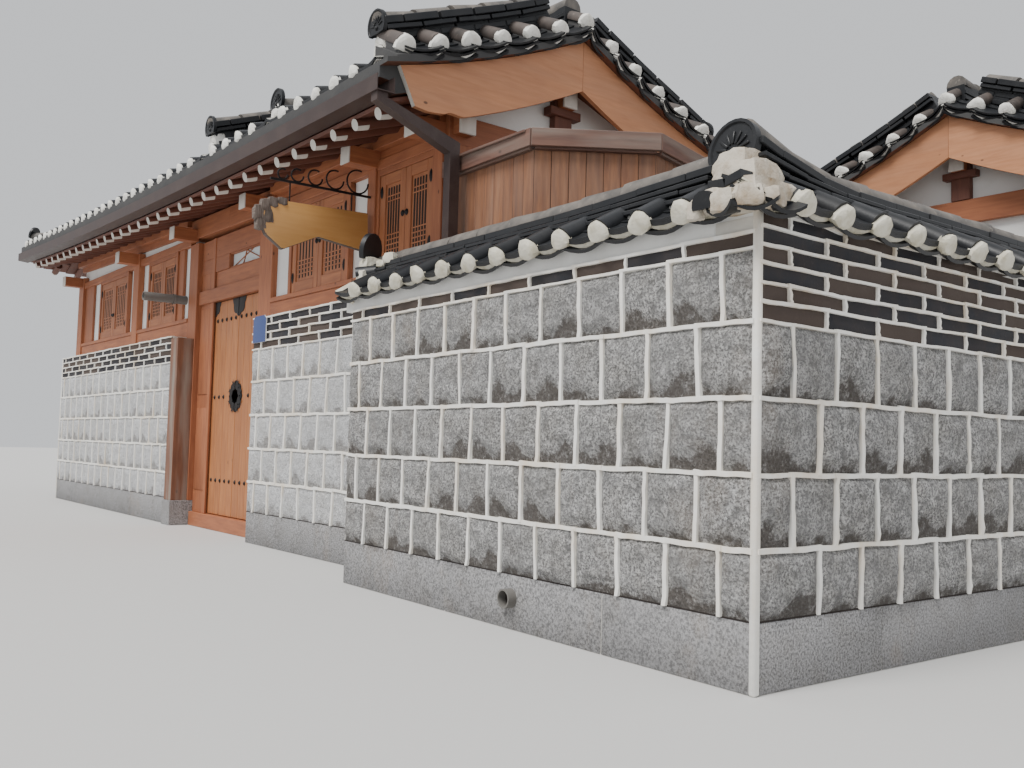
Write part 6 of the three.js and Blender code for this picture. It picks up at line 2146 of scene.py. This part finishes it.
@dataclass
class Sign:
    """A slab sign with a bark edge, hung from a scrolled iron arm. Its face is blank."""

    x: float = -4.38
    thick: float = 0.06
    outline: tuple[tuple[float, float], ...] = (
        (0.530, 2.820), (0.545, 2.500), (0.100, 2.560), (-0.190, 2.420), (-0.330, 2.520),
        (-0.420, 2.700), (-0.180, 2.800))
    lumps: tuple[tuple[float, float, float], ...] = (
        (-0.385, 2.68, 0.11), (-0.335, 2.74, 0.10), (-0.275, 2.77, 0.09), (-0.365, 2.60, 0.10),
        (-0.310, 2.66, 0.12), (-0.200, 2.79, 0.07))
    arm_z: float = 2.95
    scrolls: tuple[tuple[float, float, float], ...] = (
        (0.44, 0.095, 290), (0.24, 0.075, 290), (0.07, 0.06, 300), (-0.08, 0.05, 300), (-0.20, 0.04, 300))

    def build(self, stock: Stock, look: Palette) -> None:
        """Builds the slab and its arm."""
        self._slab(stock, look)
        self._arm(look)

    def _slab(self, stock: Stock, look: Palette) -> None:
        """Models the slab from its outline, with eased and rough edges."""
        count = len(self.outline)
        hand = Hand("slab").disc(1.0, count, turn=TO_X)
        work = bmesh.from_edit_mesh(hand.obj.data)
        ring = sorted(work.verts, key=lambda v: math.atan2(v.co.z, v.co.y))
        mid_y, mid_z = (sum(values) / count for values in zip(*self.outline))
        around = sorted(self.outline, key=lambda p: math.atan2(p[1] - mid_z, p[0] - mid_y))
        for vertex, (y, z) in zip(ring, around):
            vertex.co = Vector((-self.thick / 2, y, z))
        bmesh.update_edit_mesh(hand.obj.data)
        hand.everything().extrude((self.thick, 0, 0)).outward()
        bpy.ops.mesh.select_mode(type="EDGE")
        hand.everything().bevel(0.012, 2)
        pattern = Pattern(hand.outward(), lambda mid, normal: 0 if abs(normal.x) > 0.9 else 1)
        made = Gathering("sign_slab_piece", 95)
        made.add(pattern, SITE @ Matrix.Translation((self.x, 0, 0)), grain=1)
        for number, (y, z, tall) in enumerate(self.lumps):
            lump = SITE @ Matrix.Translation((self.x, y, z)) @ grown(0.080, 0.085, tall)
            made.add(stock.lumps[number % 3], lump, finish=1)
        made.piece([look.honey, look.bark], "pale_boards", replaces=("sign_board",))

    def _arm(self, look: Palette) -> None:
        """Models the arm, its wall plate, hooks and scrolls."""
        hand = Hand("arm").cube((-0.009, -0.30, self.arm_z), (0.009, 0.572, self.arm_z + 0.018))
        hand.everything().bevel(0.003)
        hand.cube((-0.02, 0.570, self.arm_z - 0.17), (0.02, 0.578, self.arm_z + 0.20)).bevel(0.003)
        for y in (-0.138, 0.392):
            top = 2.80 + (y + 0.18) * (2.82 - 2.80) / 0.71
            hand.tube(0.006, self.arm_z - top, 8, (0, y, (self.arm_z + top) / 2))
        for centre, radius, angle in self.scrolls:
            hand.disc(0.007, 8, (0, centre + radius, self.arm_z + 0.02 + radius))
            hand.spin(math.radians(angle), 22, (0, centre, self.arm_z + 0.02 + radius), (1, 0, 0))
        pattern = Pattern(hand.outward())
        made = Gathering("sign_arm", 96)
        made.add(pattern, SITE @ Matrix.Translation((self.x, 0, 0)))
        made.piece([look.iron], "iron", replaces=("sign_bracket",))


@dataclass
class Fittings:
    """Number plate, door bell and flue stub."""

    plate_at: tuple[float, float, float] = (3.09, BASE_FACE + 0.021, 2.0)
    flue_at: tuple[float, float, float] = (5.62, 1.314, 2.55)

    def build(self, stock: Stock, look: Palette) -> None:
        """Builds the small things on the front."""
        self._plate(stock, look)
        self._bell(stock, look)
        self._flue(look)

    def _plate(self, stock: Stock, look: Palette) -> None:
        """Builds the blank plate: blue enamel in a pale rim with a gabled top."""
        made = Joinery("blank_plate", FRONT, stock, 97)
        hand = Hand("plate").cube((-0.14, -0.006, -0.125), (0.14, 0.006, 0.095))
        hand.faces(lambda middle, normal: normal.z > 0.8)
        hand.extrude((0, 0, 0.03)).scale((0.70, 1, 1)).outward()
        hand.faces(lambda middle, normal: normal.y > 0.8).inset(0.014).move((0, 0.001, 0))
        plate = Pattern(hand, lambda middle, normal: 1 if normal.y > 0.8 and middle.y > 0.0065 else 0)
        made.copy(plate, *self.plate_at)
        made.piece([look.white, look.enamel], "plate_enamel", replaces=("number_plate",))

    @staticmethod
    def _bell(stock: Stock, look: Palette) -> None:
        """Builds the bell: a pale case, a dark eye and a button."""
        made = Joinery("bell_case", FRONT, stock, 98)
        made.bar((3.475, 3.555), (TIMBER_FACE, TIMBER_FACE + 0.024), (1.75, 1.95), 0, stock.ribbon)
        made.bar((3.492, 3.538), (TIMBER_FACE + 0.022, TIMBER_FACE + 0.0262), (1.875, 1.925), 1)
        made.copy(stock.stud, 3.515, TIMBER_FACE + 0.0235, 1.79, 0)
        made.piece([look.white, look.glass], "bell_plastic", replaces=("door_bell",))

    def _flue(self, look: Palette) -> None:
        """Builds the boiler's flue beside the gate."""
        hand = Hand("flue").tube(0.05, 0.49, 18, turn=TO_BACK)
        hand.faces(lambda middle, normal: normal.y > 0.8).inset(0.008).extrude((0, -0.06, 0))
        hand.tube(0.058, 0.03, 18, (0, -0.10, 0), TO_BACK)

        # The bottom of the bore takes the near-black finish: painted shadow inside the flue.
        def inside(middle: Vector, normal: Vector) -> int:
            return int(normal.y > 0.8 and middle.xz.length < 0.03)

        pattern = Pattern(hand.outward(), inside)
        made = Gathering("flue_pipe", 99)
        made.add(pattern, FRONT.matrix @ Matrix.Translation(self.flue_at))
        made.piece([look.pipe, look.painted_shadow], "gutter_metal", replaces=("flue_stub",))


@dataclass
class Sides:
    """The plain party walls and the courtyard fronts."""

    post: float = 0.24
    pitch: float = 2.10
    door: Span = (0.523, 2.477)

    def build(self, stock: Stock, look: Palette) -> None:
        """Builds the party walls' masonry and timbers and the courtyard's timbers and doors."""
        faces = []
        for wing in (LEFT, BACK, RIGHT):
            end = wing.length + BASE_FACE if wing.hip_end else wing.length - GABLE_WALL
            face = face_of_wing(wing, -BASE_FACE, end, BASE_FACE)
            faces.append(StoneFace(face, STONE_TOPS, BRICK_TOPS, seed=50 + len(faces), corner=0.03))
            self._party_timbers(wing, end, stock, look)
        Masonry("party_walls").build(faces, stock, look)
        for name, wing, span in (
                ("front_right", FRONT, (GABLE_WALL, GATE_SPAN[0])),
                ("front_left", FRONT, (GATE_SPAN[1], FRONT.length - WALL_BACK)),
                ("left", LEFT, (TIMBER_FACE, LEFT.length - WALL_BACK)),
                ("back", BACK, (TIMBER_FACE, BACK.length - WALL_BACK)),
                ("right", RIGHT, (TIMBER_FACE, RIGHT.length - GABLE_WALL))):
            self._court(name, wing, span, stock, look)

    def _posts(self, span: Span) -> list[Span]:
        """Divides a stretch into bays and gives its posts."""
        count = max(1, round((span[1] - span[0] - self.post) / self.pitch))
        step = (span[1] - span[0] - self.post) / count
        return [(span[0] + i * step, span[0] + i * step + self.post) for i in range(count + 1)]

    def _party_timbers(self, wing: Wing, end: float, stock: Stock, look: Palette) -> None:
        """Builds the timbers over a party wall's base."""
        made = Joinery(f"party_timbers_{wing.name}", wing, stock, 101)
        span = (-WALL_BACK, end - (BASE_FACE - TIMBER_FACE) if wing.hip_end else end)
        out = (WALL_FACE - 0.01, TIMBER_FACE + 0.003)
        made.bar(span, out, (BASE_TOP + 0.001, SILL_TOP + 0.003))
        made.raised(span, out, LINTEL - 0.003, PLATE_TOP)
        for post in self._posts(span):
            made.bar(post, (WALL_FACE - 0.01, TIMBER_FACE + 0.012), (BASE_TOP + 0.001, LINTEL + 0.004))
        made.piece([look.timber], "timber")

    def _court(self, name: str, wing: Wing, span: Span, stock: Stock, look: Palette) -> None:
        """Builds one courtyard front's timbers and latticed doors."""
        made = Joinery(f"court_timbers_{name}", wing, stock, 110)
        out = (-TIMBER_FACE - 0.003, -WALL_FACE + 0.01)
        posts = self._posts(span)
        for height in ((LINTEL, PLATE_TOP - 0.002), (0.40, self.door[0]), (self.door[1], 2.633)):
            made.bar(span, out, height)
        for post in posts:
            made.bar(post, (-TIMBER_FACE - 0.014, -WALL_FACE + 0.01), (0.0, LINTEL))
        for (_, a), (b, _) in zip(posts, posts[1:]):
            self._doors(made, a + 0.26, b - 0.26)
        made.piece([look.timber, look.paper, look.leaf], "timber")

    def _doors(self, made: Joinery, start: float, end: float) -> None:
        """Builds a pair of doors: paper behind upright bars, over a solid foot panel."""
        low, high = self.door
        face, back = -WALL_FACE + 0.018, -WALL_FACE + 0.045
        middle = (start + end) / 2
        for a, b in ((start, middle - 0.002), (middle + 0.002, end)):
            made.bar((a, b), (back - 0.012, back), (low + 0.5, high), 1)
            for edge in ((a, a + 0.07), (b - 0.07, b)):
                made.bar(edge, (face - 0.014, back), (low, high), 2)
            for z in ((low, low + 0.09), (low + 0.50, low + 0.58), (high - 0.08, high)):
                made.bar((a + 0.07, b - 0.07), (face - 0.014, back), z, 2)
            made.bar((a + 0.07, b - 0.07), (face, back), (low + 0.09, low + 0.50), 2)
            count = 6
            for i in range(1, count):
                s = a + 0.07 + i * (b - a - 0.14) / count
                made.bar((s - 0.008, s + 0.008), (face, face + 0.014), (low + 0.58, high - 0.08), 2)
            for z in (0.70, 0.76, 0.82, 1.20, 1.26, 1.32, 1.70, 1.76):
                made.bar((a + 0.07, b - 0.07), (face + 0.003, face + 0.012), (low + z, low + z + 0.014), 2)


# The studio


@dataclass
class Studio:
    """Camera, floor and light."""

    eye: tuple[float, float, float] = (2.530, -3.149, 0.978)
    right: tuple[float, float, float] = (0.6012, 0.7987, 0.026)
    ahead: tuple[float, float, float] = (-0.797, 0.600, 0.063)
    lens: float = 33.92
    sensor: float = 36.0
    sky: Colour = (0.93, 0.95, 0.98)
    sky_strength: float = 0.84
    sun: Colour = (1.0, 0.98, 0.95)
    sun_energy: float = 3.9
    sun_width: float = 28.0
    sun_tilt: float = 32.0
    sun_turn: float = 10.0

    def build(self) -> None:
        """Sets up the view, the floor and the lights."""
        self._camera()
        self._floor()
        self._light()

    def _camera(self) -> None:
        """Puts the camera where the photo was taken."""
        ahead = Vector(self.ahead).normalized()
        right = Vector(self.right)
        right = (right - ahead * right.dot(ahead)).normalized()
        up = right.cross(ahead)
        turn = Matrix((right, up, -ahead)).transposed().to_4x4()
        data = bpy.data.cameras.new("camera")
        data.lens, data.sensor_width, data.sensor_fit = self.lens, self.sensor, "HORIZONTAL"
        data.clip_end = 200.0
        camera = bpy.data.objects.new("camera", data)
        camera.matrix_world = Matrix.Translation(SITE @ Vector(self.eye)) @ turn
        bpy.context.scene.collection.objects.link(camera)
        bpy.context.scene.camera = camera

    @staticmethod
    def _floor() -> None:
        """Lays a plain pale floor."""
        bpy.ops.object.select_all(action="DESELECT")
        bpy.ops.mesh.primitive_plane_add(size=120, location=(0, 0, -0.001))
        floor = bpy.context.object
        floor.name = "floor"
        g = Graph("pale_floor")
        floor.data.materials.append(g.surface((0.56, 0.555, 0.545), 0.9))

    def _light(self) -> None:
        """Lights the scene softly from above and a little from the street."""
        world = bpy.data.worlds.new("overcast")
        bpy.context.scene.world = world
        world.use_nodes = True
        backdrop = world.node_tree.nodes["Background"]
        backdrop.inputs["Color"].default_value = (*self.sky, 1.0)
        backdrop.inputs["Strength"].default_value = self.sky_strength
        data = bpy.data.lights.new("soft_sun", "SUN")
        data.energy = self.sun_energy
        data.angle = math.radians(self.sun_width)
        data.color = self.sun
        sun = bpy.data.objects.new("soft_sun", data)
        sun.rotation_euler = (math.radians(self.sun_tilt), 0.0, math.radians(self.sun_turn))
        bpy.context.scene.collection.objects.link(sun)


def dress_frame(look: Palette) -> None:
    """Gives each of the frame's own nodes that stays in view its finish."""
    finishes = {
        look.backing: ["yard_wall_front", "yard_wall_side", "street_wall_right", "street_wall_left",
                       "left_wall", "back_wall", "right_wall", "near_gable_wall", "rear_gable_wall",
                       "passage_wall_right", "passage_wall_left"],
        look.plaster: ["court_front_right", "court_front_left", "court_left", "court_back", "court_right"],
        look.slab: ["floor_right_room", "floor_rooms"],
        look.gutter: ["street_gutter", "rain_pipe"],
        # The plank bay's own body is near-black: painted shadow in the gaps between the planks.
        look.painted_shadow: ["plank_bay"],
    }
    for material, names in finishes.items():
        for name in names:
            coat(name, material)


def main() -> None:
    """Builds the dressed house, piece by piece."""
    logging.basicConfig(level=logging.INFO, format="%(message)s")
    stock = Stock()
    look = Palette()
    dress_frame(look)
    street_ridges = ((1.926, False), (3.372, True))
    for part in (YardWall(), Coping(), Roof(FRONT, 200, extra=street_ridges), Roof(LEFT, 220),
                 Roof(BACK, 240), Roof(RIGHT, 260), StreetFront(), Gate(),
                 Gable("near_gable", FRONT, 120), Gable("rear_gable", RIGHT, 130),
                 PlankBay(), Sign(), Fittings(), Sides()):
        part.build(stock, look)
        LOG.info("%s built", type(part).__name__)
    Studio().build()
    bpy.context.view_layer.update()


if __name__ == "__main__":
    main()
